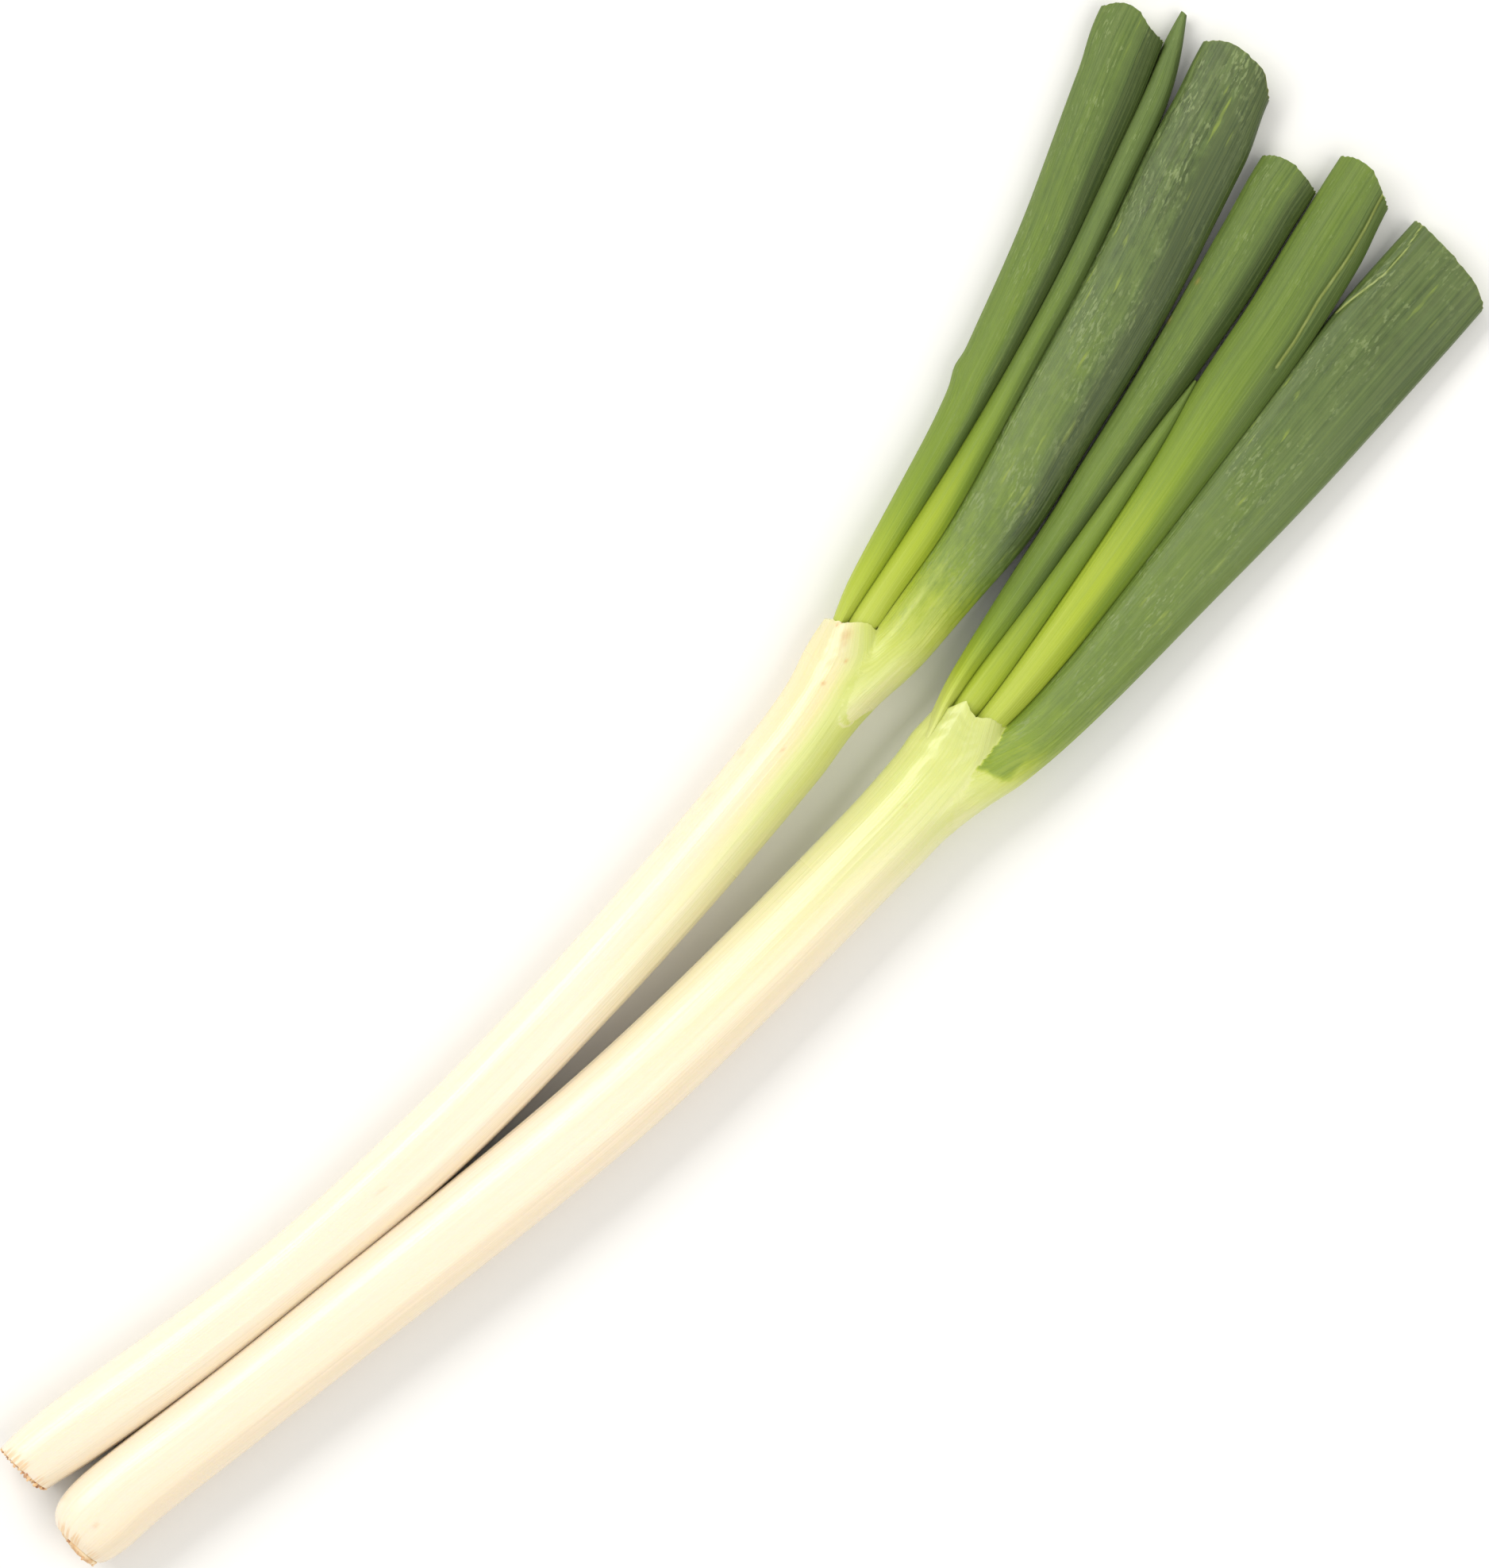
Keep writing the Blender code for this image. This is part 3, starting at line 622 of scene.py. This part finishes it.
for key, (leaf, points, isBlade, u, v) in leaves.items():
    x = points[:, 0]
    tone = alongOf(toneOf[key], x)
    bloom = alongOf(bloomOf[key], x) * isBlade
    blushAndPaintedWarmShade = np.zeros(len(x))
    if key == "leftOuterLeaf":
        # the far side of the sheath stays beige, the near side greens from the waist
        sheathTone = np.interp(x, [-60, -20, 20, 50, 70], [0, 0.08, 0.2, 0.27, 0.3])
        late = np.interp(x, [-30, 20, 40, 60, 70], [0, 0.04, 0.11, 0.15, 0.16])
        far = smoothStep(-0.35, 0.3, u)
        tone = np.where(isBlade > 0.5, tone, sheathTone * (1 - far) + late * far)
        tone = tone - 0.1 * smoothStep(0.2, 0.9, -u) * isBlade * (1 - smoothStep(74, 92, x))
        # painted shade: past x 90 the blade's side away from the light is painted darker green
        tone = tone + 0.08 * smoothStep(0.1, 0.8, -u) * isBlade * smoothStep(90, 120, x)
        blushAndPaintedWarmShade = far * smoothStep(-60, 60, x) * (1 - isBlade)
    if key == "rightOuterLeaf":
        # here the far side greens first, and the patch on the blade's back starts sharply
        sheathTone = np.interp(x, [-80, -20, 20, 50, 72], [0, 0.07, 0.15, 0.22, 0.26])
        near = smoothStep(-0.1, 0.6, -u)
        tone = np.where(isBlade > 0.5, tone, sheathTone * (1 - 0.6 * near * (1 - smoothStep(0, 50, x))))
        slanted = x + 0.3 * (points[:, 1] + 46) + 0.8 * softNoise(points * 0.5, 1.0, 2.0)
        back = smoothStep(57.4, 61, slanted) * smoothStep(-54.5, -50, points[:, 1]) * (v > 0)
        flank = 0.12 * smoothStep(0.5, 0.9, -u) * (1 - smoothStep(80, 100, x))
        tone = np.where(isBlade > 0.5, np.maximum(tone * (1 - flank), 0.56 * back), tone)
        # painted warm shade: towards the root, the shaft's side away from the light is tinted warm, standing
        # in for warm bounce light
        blushAndPaintedWarmShade = near * (1 - smoothStep(-20, 40, x))
    if key in ("leftInnerLeaf", "rightInnerLeaf"):
        bloom = bloom * smoothStep(-0.6, 0.4, v)
    # painted shade: the side away from the light is painted darker green and gets less of the pale wax
    paintedShadeSide = smoothStep(0.05, 0.75, -u) * isBlade * smoothStep(84, 120, x)
    tone = tone + paintedShadeDepth[key] * paintedShadeSide
    bloom = bloom * (1 - 0.8 * paintedShadeSide)
    stain = np.zeros(len(x))
    for spotX, spotY, size, strength in stainsOf.get(key, ()):
        away = np.hypot((x - spotX) / stainStretch, points[:, 1] - spotY)
        stain = np.maximum(stain, strength * np.exp(-(away / size) ** 2))
    storeValue(leaf, "stain", stain * (v > 0))
    storeValue(leaf, "tone", tone)
    storeValue(leaf, "bloom", bloom)
    storeValue(leaf, "blushAndPaintedWarmShade", blushAndPaintedWarmShade)
    rootDry = 1 - smoothStep(0, rootDryLength, x - x.min())
    storeValue(leaf, "rootDry", rootDry * ("Outer" in key))

print("materials")


def srgb(r, g, b):
    def linear(c):
        c = c / 255
        return c / 12.92 if c <= 0.04045 else ((c + 0.055) / 1.055) ** 2.4
    return (linear(r), linear(g), linear(b), 1)


def newGroup(name, inputs, outputs):
    group = bpy.data.node_groups.new(name, "ShaderNodeTree")
    for label, kind, value in inputs:
        socket = group.interface.new_socket(name=label, in_out="INPUT", socket_type=kind)
        if value is not None:
            socket.default_value = value
    for label, kind in outputs:
        group.interface.new_socket(name=label, in_out="OUTPUT", socket_type=kind)
    start = group.nodes.new("NodeGroupInput")
    end = group.nodes.new("NodeGroupOutput")
    return group, start, end


def mathNode(tree, operation, *values):
    node = tree.nodes.new("ShaderNodeMath")
    node.operation = operation
    for i, value in enumerate(values):
        if isinstance(value, (int, float)):
            node.inputs[i].default_value = value
        else:
            tree.links.new(value, node.inputs[i])
    return node.outputs[0]


def stretchNode(tree, vector, amounts):
    node = tree.nodes.new("ShaderNodeVectorMath")
    node.operation = "MULTIPLY"
    tree.links.new(vector, node.inputs[0])
    node.inputs[1].default_value = amounts
    return node.outputs[0]


def noiseNode(tree, vector, scale, detail=2.0, roughness=0.5):
    node = tree.nodes.new("ShaderNodeTexNoise")
    tree.links.new(vector, node.inputs["Vector"])
    node.inputs["Scale"].default_value = scale
    node.inputs["Detail"].default_value = detail
    node.inputs["Roughness"].default_value = roughness
    return node.outputs[0]


def rangeNode(tree, value, fromLow, fromHigh, toLow=0.0, toHigh=1.0):
    node = tree.nodes.new("ShaderNodeMapRange")
    tree.links.new(value, node.inputs["Value"])
    ends = {"From Min": fromLow, "From Max": fromHigh, "To Min": toLow, "To Max": toHigh}
    for label, number in ends.items():
        node.inputs[label].default_value = number
    return node.outputs[0]


def mixNode(tree, factor, a, b, blend="MIX"):
    node = tree.nodes.new("ShaderNodeMix")
    node.data_type = "RGBA"
    node.blend_type = blend
    for socket, value in ((node.inputs[0], factor), (node.inputs[6], a), (node.inputs[7], b)):
        if isinstance(value, (int, float, tuple)):
            socket.default_value = value
        else:
            tree.links.new(value, socket)
    return node.outputs[2]


def rampNode(tree, value, stops):
    node = tree.nodes.new("ShaderNodeValToRGB")
    tree.links.new(value, node.inputs[0])
    while len(node.color_ramp.elements) < len(stops):
        node.color_ramp.elements.new(0.5)
    for element, (place, colour) in zip(node.color_ramp.elements, stops):
        element.position = place
        element.color = colour
    return node.outputs[0]


def makeFibreGroup():
    # long veins that follow the leaf
    group, start, end = newGroup("leafFibres", [("Flow", "NodeSocketVector", None)],
                                 [("Lines", "NodeSocketFloat"), ("Fine", "NodeSocketFloat")])
    flow = start.outputs["Flow"]
    lines = noiseNode(group, stretchNode(group, flow, (0.012, 1, 1)), 900, 3, 0.65)
    fine = noiseNode(group, stretchNode(group, flow, (0.012, 1, 1)), 2000, 2, 0.5)
    group.links.new(rangeNode(group, lines, 0.3, 0.7), end.inputs["Lines"])
    group.links.new(rangeNode(group, fine, 0.3, 0.7), end.inputs["Fine"])
    return group


def makeBloomGroup():
    # the bluish wax that lies in streaks and rubbed patches
    group, start, end = newGroup("waxBloom", [("Flow", "NodeSocketVector", None),
                                              ("Amount", "NodeSocketFloat", 0.5)],
                                 [("Mask", "NodeSocketFloat")])
    flow = start.outputs["Flow"]
    patches = noiseNode(group, stretchNode(group, flow, (0.28, 1, 1)), 130, 4, 0.65)
    streaks = noiseNode(group, stretchNode(group, flow, (0.03, 1, 1)), 330, 2, 0.6)
    mixed = mathNode(group, "ADD", mathNode(group, "MULTIPLY", patches, 0.6),
                     mathNode(group, "MULTIPLY", streaks, 0.4))
    mask = rangeNode(group, mixed, 0.34, 0.66)
    group.links.new(mathNode(group, "MULTIPLY", mask, start.outputs["Amount"]), end.inputs["Mask"])
    return group


def makeFleckGroup():
    # short pale dashes between the veins, and small yellow scars
    group, start, end = newGroup("paleFlecks", [("Flow", "NodeSocketVector", None),
                                                ("Density", "NodeSocketFloat", 0.3)],
                                 [("Dashes", "NodeSocketFloat"), ("Scars", "NodeSocketFloat")])
    flow = start.outputs["Flow"]
    dashes = noiseNode(group, stretchNode(group, flow, (0.3, 1, 1)), 1500, 2, 0.5)
    gate = noiseNode(group, stretchNode(group, flow, (0.5, 1, 1)), 140, 3, 0.6)
    opened = rangeNode(group, gate, 0.46, 0.56)
    level = rangeNode(group, start.outputs["Density"], 0, 1, 0.66, 0.44)
    over = mathNode(group, "MULTIPLY", mathNode(group, "SUBTRACT", dashes, level), 14)
    over.node.use_clamp = True
    group.links.new(mathNode(group, "MULTIPLY", over, opened), end.inputs["Dashes"])
    scars = noiseNode(group, stretchNode(group, flow, (0.14, 1, 1)), 520, 2, 0.45)
    scarLevel = rangeNode(group, start.outputs["Density"], 0, 1, 0.76, 0.6)
    scarOver = mathNode(group, "MULTIPLY", mathNode(group, "SUBTRACT", scars, scarLevel), 16)
    scarOver.node.use_clamp = True
    group.links.new(scarOver, end.inputs["Scars"])
    return group


fibreGroup = makeFibreGroup()
bloomGroup = makeBloomGroup()
fleckGroup = makeFleckGroup()

leafColours = [(0.0, srgb(242, 226, 203)), (0.1, srgb(229, 221, 176)), (0.22, srgb(210, 214, 132)),
               (0.34, srgb(190, 199, 88)), (0.46, srgb(160, 176, 46)), (0.58, srgb(122, 145, 38)),
               (0.7, srgb(99, 122, 40)), (0.82, srgb(82, 103, 44)), (0.92, srgb(66, 86, 34)),
               (1.0, srgb(42, 60, 18))]
marks = {"blushAndPaintedWarmShade": srgb(244, 216, 178), "stain": srgb(206, 140, 74), "wax": srgb(104, 122, 74),
         "dash": srgb(136, 150, 100), "scar": srgb(142, 158, 58), "vein": srgb(160, 176, 100),
         "slit": srgb(190, 200, 120), "dryRoot": srgb(226, 182, 130)}


def attributeNode(tree, name):
    node = tree.nodes.new("ShaderNodeAttribute")
    node.attribute_name = name
    return node


def placeGroup(tree, group, flow, **values):
    node = tree.nodes.new("ShaderNodeGroup")
    node.node_tree = group
    tree.links.new(flow, node.inputs["Flow"])
    for label, value in values.items():
        if isinstance(value, (int, float)):
            node.inputs[label].default_value = value
        else:
            tree.links.new(value, node.inputs[label])
    return node


def leafSkin(name, style):
    material = bpy.data.materials.new(name)
    material.use_nodes = True
    tree = material.node_tree
    surface = tree.nodes["Principled BSDF"]
    flow = attributeNode(tree, "flow").outputs["Vector"]
    tone = attributeNode(tree, "tone").outputs["Fac"]
    bloom = attributeNode(tree, "bloom").outputs["Fac"]
    fibres = placeGroup(tree, fibreGroup, flow)
    wax = placeGroup(tree, bloomGroup, flow, Amount=bloom)
    flecks = placeGroup(tree, fleckGroup, flow, Density=style["flecks"])
    blushAndPaintedWarmShade = attributeNode(tree, "blushAndPaintedWarmShade").outputs["Fac"]
    dry = attributeNode(tree, "rootDry").outputs["Fac"]
    slit = attributeNode(tree, "slit").outputs["Fac"]
    green = rangeNode(tree, tone, 0.05, 0.7, 0.45, 1.0)
    cloudy = noiseNode(tree, stretchNode(tree, flow, (0.45, 1, 1)), 420, 4, 0.7)

    def product(a, b):
        return mathNode(tree, "MULTIPLY", a, b)

    mottle = product(rangeNode(tree, cloudy, 0.35, 0.65, -style["mottle"], style["mottle"]), bloom)
    tone = mathNode(tree, "ADD", tone, mottle)
    sway = rangeNode(tree, fibres.outputs["Lines"], 0, 1, -style["veins"], style["veins"])
    colour = rampNode(tree, mathNode(tree, "ADD", tone, product(sway, green)), leafColours)
    # blush is the sheath's own beige on the left shaft, and painted warm shade on the right shaft's side
    # away from the light
    colour = mixNode(tree, product(blushAndPaintedWarmShade, style["blushAndPaintedWarmShade"]), colour, marks["blushAndPaintedWarmShade"])
    colour = mixNode(tree, attributeNode(tree, "stain").outputs["Fac"], colour, marks["stain"])
    colour = mixNode(tree, product(wax.outputs["Mask"], style["wax"]), colour, marks["wax"])
    dashes = product(flecks.outputs["Dashes"], bloom)
    colour = mixNode(tree, product(dashes, 0.7), colour, marks["dash"])
    scars = product(flecks.outputs["Scars"], bloom)
    colour = mixNode(tree, product(scars, 0.8), colour, marks["scar"])
    veinLight = rangeNode(tree, fibres.outputs["Fine"], 0, 1, 0.0, style["veinLight"])
    colour = mixNode(tree, product(veinLight, green), colour, marks["vein"])
    colour = mixNode(tree, rangeNode(tree, slit, 0.5, 0.95, 0, 0.75), colour, marks["slit"])
    ragged = product(dry, rangeNode(tree, fibres.outputs["Lines"], 0.2, 0.9, 0.3, 1.5))
    colour = mixNode(tree, rangeNode(tree, ragged, 0.6, 1.1, 0, 0.6), colour, marks["dryRoot"])
    tree.links.new(colour, surface.inputs["Base Color"])
    rough = mathNode(tree, "ADD", rangeNode(tree, wax.outputs["Mask"], 0, 1, 0.0, 0.15),
                     rangeNode(tree, tone, 0.1, 0.6, style["gloss"], style["gloss"] + 0.2))
    tree.links.new(rough, surface.inputs["Roughness"])
    bump = tree.nodes.new("ShaderNodeBump")
    bump.inputs["Strength"].default_value = style["bump"]
    bump.inputs["Distance"].default_value = 0.0003
    height = mathNode(tree, "ADD", fibres.outputs["Lines"], product(fibres.outputs["Fine"], 0.3))
    tree.links.new(height, bump.inputs["Height"])
    tree.links.new(bump.outputs["Normal"], surface.inputs["Normal"])
    surface.inputs["Specular IOR Level"].default_value = style["shine"]
    surface.inputs["Subsurface Weight"].default_value = style["glow"]
    surface.inputs["Subsurface Radius"].default_value = (1.0, 0.8, 0.4)
    surface.inputs["Subsurface Scale"].default_value = 0.0025
    coat = rangeNode(tree, tone, 0.1, 0.6, style["coat"], 0.0)
    tree.links.new(coat, surface.inputs["Coat Weight"])
    surface.inputs["Coat Roughness"].default_value = 0.18
    return material


def innerSkin():
    # the pale wet inside of a leaf and its cut edge
    material = bpy.data.materials.new("leafInside")
    material.use_nodes = True
    tree = material.node_tree
    surface = tree.nodes["Principled BSDF"]
    flow = attributeNode(tree, "flow").outputs["Vector"]
    tone = attributeNode(tree, "tone").outputs["Fac"]
    fibres = placeGroup(tree, fibreGroup, flow)
    pale = rampNode(tree, tone, [(0.0, srgb(250, 244, 225)), (0.4, srgb(214, 222, 140)),
                                 (0.8, srgb(150, 176, 84))])
    lined = rangeNode(tree, fibres.outputs["Lines"], 0, 1, 0, 0.2)
    colour = mixNode(tree, lined, pale, srgb(235, 238, 190))
    tree.links.new(colour, surface.inputs["Base Color"])
    surface.inputs["Roughness"].default_value = 0.35
    return material


outerSkin = {"veins": 0.045, "wax": 0.5, "gloss": 0.26, "bump": 0.3, "glow": 0.35, "veinLight": 0.17,
             "coat": 0.35, "shine": 0.4}
bladeSkin = {"mottle": 0.05, "veins": 0.045, "glow": 0.12, "blushAndPaintedWarmShade": 0, "coat": 0.05, "shine": 0.25}
coreSkin = bladeSkin | {"mottle": 0.04, "veins": 0.04, "flecks": 0.2, "gloss": 0.36, "bump": 0.18}
skins = {
    "leftOuterLeaf": outerSkin | {"mottle": 0.09, "flecks": 0.6, "blushAndPaintedWarmShade": 0.4},
    "leftMiddleLeaf": bladeSkin | {"wax": 0.45, "flecks": 0.4, "gloss": 0.34, "bump": 0.22,
                                   "veinLight": 0.16},
    "leftInnerLeaf": coreSkin | {"wax": 0.7, "veinLight": 0.14},
    "rightOuterLeaf": outerSkin | {"mottle": 0.05, "flecks": 0.5, "blushAndPaintedWarmShade": 0.3},
    "rightSecondLeaf": bladeSkin | {"wax": 0.4, "flecks": 0.4, "gloss": 0.32, "bump": 0.25,
                                    "veinLight": 0.17},
    "rightThirdLeaf": bladeSkin | {"wax": 0.3, "flecks": 0.3, "gloss": 0.32, "bump": 0.22, "veinLight": 0.17,
                                   "veins": 0.05, "glow": 0.15},
    "rightInnerLeaf": coreSkin | {"wax": 0.5, "veinLight": 0.16}}
inside = innerSkin()
nodeOf = {"leftOuterLeaf": "left_outer_leaf", "leftMiddleLeaf": "left_middle_leaf",
          "leftInnerLeaf": "left_inner_leaf", "rightOuterLeaf": "right_outer_leaf",
          "rightSecondLeaf": "right_second_leaf", "rightThirdLeaf": "right_third_leaf",
          "rightInnerLeaf": "right_inner_leaf"}
for key, (leaf, points, isBlade, u, v) in leaves.items():
    leaf.data.materials.clear()
    leaf.data.materials.append(leafSkin(key + "Skin", skins[key]))
    leaf.data.materials.append(inside)
    if key in hollowLeaves:
        finishLeaf(leaf, points, isBlade, *hollowLeaves[key][1:])
    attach(leaf, "root")
    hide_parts(nodeOf[key])

print("root plates")


def rootSkin():
    # dried root stubs, tan to orange-brown, each stub with its own shade
    material = bpy.data.materials.new("driedRoot")
    material.use_nodes = True
    tree = material.node_tree
    surface = tree.nodes["Principled BSDF"]
    place = tree.nodes.new("ShaderNodeTexCoord").outputs["Object"]
    shade = attributeNode(tree, "stubShade").outputs["Fac"]
    grain = noiseNode(tree, place, 900, 3, 0.6)
    patches = noiseNode(tree, place, 260, 2, 0.5)
    mixed = mathNode(tree, "ADD", shade, rangeNode(tree, patches, 0.3, 0.7, -0.2, 0.2))
    colour = rampNode(tree, mixed, [(0.0, srgb(244, 226, 192)), (0.35, srgb(228, 190, 140)),
                                    (0.65, srgb(204, 148, 96)), (1.0, srgb(158, 100, 58))])
    colour = mixNode(tree, rangeNode(tree, grain, 0.45, 0.75, 0, 0.35), colour, srgb(250, 236, 206))
    tree.links.new(colour, surface.inputs["Base Color"])
    tree.links.new(rangeNode(tree, grain, 0, 1, 0.55, 0.8), surface.inputs["Roughness"])
    bump = tree.nodes.new("ShaderNodeBump")
    bump.inputs["Distance"].default_value = 0.0003
    bump.inputs["Strength"].default_value = 0.4
    tree.links.new(grain, bump.inputs["Height"])
    tree.links.new(bump.outputs["Normal"], surface.inputs["Normal"])
    return material


def modelStub():
    # one short torn root: a six-sided stalk, narrowed twice, 1 mm long and 1 mm across
    deselectAll()
    bpy.ops.mesh.primitive_circle_add(vertices=6, radius=0.5 * mm, fill_type="NGON")
    stub = bpy.context.object
    bpy.ops.object.mode_set(mode="EDIT")
    bpy.ops.mesh.select_all(action="SELECT")
    for lift, narrow in ((0.45, 0.85), (0.35, 0.8), (0.2, 0.6)):
        bpy.ops.mesh.extrude_region_move(TRANSFORM_OT_translate={"value": (0, 0, lift * mm)})
        bpy.ops.transform.resize(value=(narrow, narrow, 1))
    bpy.ops.mesh.select_all(action="SELECT")
    bpy.ops.mesh.normals_make_consistent(inside=False)
    bpy.ops.object.mode_set(mode="OBJECT")
    return stub


plateBack = 2.2   # how far behind the root end the plate starts
plateSteps = ((-1.6, 1.0), (-0.7, 0.9), (-0.35, 0.78), (-0.2, 0.75), (0.05, 0.7), (0.2, 0.5))


def makeRootPlate(name, rows, style):
    draw = random.Random(style["seed"])
    x, high, low, under, top = smoothRow(rows, rows[0][0])
    cy, cz = (high + low) / 2, (under + top) / 2
    wide, tall = (high - low) / 2 - style["inset"], (top - under) / 2 - style["inset"]

    def faceX(u):
        return x + style["slant"] * (u - 1) / 2

    middle = Vector((x + plateBack, cy, cz)) * mm
    deselectAll()
    bpy.ops.mesh.primitive_circle_add(vertices=40, radius=1, fill_type="NGON", location=middle,
                                      rotation=(0, -math.pi / 2, 0))
    plate = bpy.context.object
    plate.name = name
    bpy.ops.object.transform_apply(location=True, rotation=True, scale=True)
    bpy.ops.object.mode_set(mode="EDIT")
    bpy.ops.mesh.select_all(action="SELECT")
    bpy.ops.transform.resize(value=(1, wide * mm, tall * mm), center_override=middle)
    for step, scale in plateSteps:
        bpy.ops.mesh.extrude_region_move(TRANSFORM_OT_translate={"value": (step * mm, 0, 0)})
        middle.x += step * mm
        bpy.ops.transform.resize(value=(1, scale, scale), center_override=middle)
    bpy.ops.mesh.select_all(action="SELECT")
    bpy.ops.mesh.normals_make_consistent(inside=False)
    bpy.ops.object.mode_set(mode="OBJECT")
    smooth = plate.modifiers.new("smooth", "SUBSURF")
    smooth.levels = 2
    smooth.render_levels = 2
    applyAll(plate)
    points = readPoints(plate)
    bumps = softNoise(points, 0.9, style["seed"]) * 0.35 + softNoise(points, 2.2, 3.0) * 0.2
    out = smoothStep(x + 1.0, x - 0.6, points[:, 0])
    points[:, 0] += bumps * out + faceX((points[:, 1] - cy) / wide) - x
    writePoints(plate, points)
    storeValue(plate, "stubShade", 0.3 + 0.25 * softNoise(points, 0.6, 7.0))
    stub = modelStub()
    pieces = [plate]
    for _ in range(style["stubs"]):
        turn = draw.uniform(0, 2 * math.pi)
        ring = draw.choice(style["rings"]) * draw.uniform(0.94, 1.04)
        copy = bpy.data.objects.new(name + "Stub", stub.data.copy())
        bpy.context.scene.collection.objects.link(copy)
        u, v = math.cos(turn) * ring, math.sin(turn) * ring
        copy.location = Vector((faceX(u) + 0.5, cy + u * wide, cz + v * tall)) * mm
        thick = draw.uniform(*style["thick"])
        copy.scale = (thick, thick * draw.uniform(0.7, 1.3), draw.uniform(*style["long"]))
        sideways = u * style["splay"] + draw.uniform(-0.5, 0.5)
        upwards = v * style["splay"] + draw.uniform(-0.5, 0.5)
        aim = Vector((-1, sideways, upwards))
        copy.rotation_euler = aim.to_track_quat("Z", "Y").to_euler()
        shade = draw.choice((0.1, 0.25, 0.4, 0.55, 0.8, 0.95))
        storeValue(copy, "stubShade", [shade] * len(copy.data.vertices))
        pieces.append(copy)
    bpy.data.objects.remove(stub, do_unlink=True)
    deselectAll()
    for piece in pieces:
        piece.select_set(True)
    bpy.ops.object.transform_apply(location=True, rotation=True, scale=True)
    bpy.context.view_layer.objects.active = plate
    bpy.ops.object.join()
    plate.data.materials.clear()
    plate.data.materials.append(driedRoot)
    shadeSmooth(plate, 40)
    return plate


driedRoot = rootSkin()
leftRootStyle = {"seed": 5, "inset": 0.7, "slant": 0.6, "stubs": 210,
                 "rings": (0.3, 0.6, 0.82, 0.92, 0.97, 1.02, 1.04),
                 "thick": (0.5, 1.5), "long": (0.5, 1.5), "splay": 0.25}
rightRootStyle = {"seed": 9, "inset": 0.5, "slant": 2.0, "stubs": 90, "rings": (0.3, 0.6, 0.8, 0.95),
                  "thick": (0.4, 1.0), "long": (0.5, 1.1), "splay": 0.2}
for name, rows, style, node in (("leftRootPlate", leftShaft, leftRootStyle, "left_root_plate"),
                                ("rightRootPlate", rightShaft, rightRootStyle, "right_root_plate")):
    plate = makeRootPlate(name, rows, style)
    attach(plate, "root")
    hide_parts(node)
    print(name, len(plate.data.polygons), "faces")

print("floor, light and camera")
deselectAll()
bpy.ops.mesh.primitive_plane_add(size=6, location=(0, 0, 0))
floor = bpy.context.object
floor.name = "floor"
pale = bpy.data.materials.new("paleFloor")
pale.use_nodes = True
pale.node_tree.nodes["Principled BSDF"].inputs["Base Color"].default_value = srgb(236, 235, 232)
pale.node_tree.nodes["Principled BSDF"].inputs["Roughness"].default_value = 0.9
floor.data.materials.append(pale)

world = bpy.data.worlds.new("studio")
bpy.context.scene.world = world
world.use_nodes = True
world.node_tree.nodes["Background"].inputs["Color"].default_value = (1, 1, 1, 1)
world.node_tree.nodes["Background"].inputs["Strength"].default_value = 0.7
bpy.context.scene.view_settings.view_transform = "Standard"   # plain, clean whites


def addSoftLight(name, place, size, power, colour=(1, 1, 1)):
    light = bpy.data.lights.new(name, "AREA")
    light.shape = "RECTANGLE"
    light.size, light.size_y = size
    light.energy = power
    light.color = colour
    lamp = bpy.data.objects.new(name, light)
    bpy.context.scene.collection.objects.link(lamp)
    lamp.location = place
    lamp.rotation_euler = (Vector((0, 0, 0)) - Vector(place)).to_track_quat("-Z", "Y").to_euler()
    return lamp


addSoftLight("key", (0.05, 1.1, 1.15), (1.5, 0.6), 16, (1, 0.985, 0.955))
addSoftLight("fill", (0.2, -1.0, 1.6), (1.5, 1.2), 13, (1, 0.97, 0.93))

turned = math.radians(48)
view = {"height": 1.6, "level": 0.012, "middle": (0.017, -0.0025), "frameTall": 0.395}
camera = bpy.data.objects.new("camera", bpy.data.cameras.new("camera"))
bpy.context.scene.collection.objects.link(camera)
camera.location = (*view["middle"], view["level"] + view["height"])
camera.rotation_euler = (0, 0, -turned)
camera.data.lens = 36 * view["height"] / view["frameTall"]
camera.data.clip_end = 20
bpy.context.scene.camera = camera
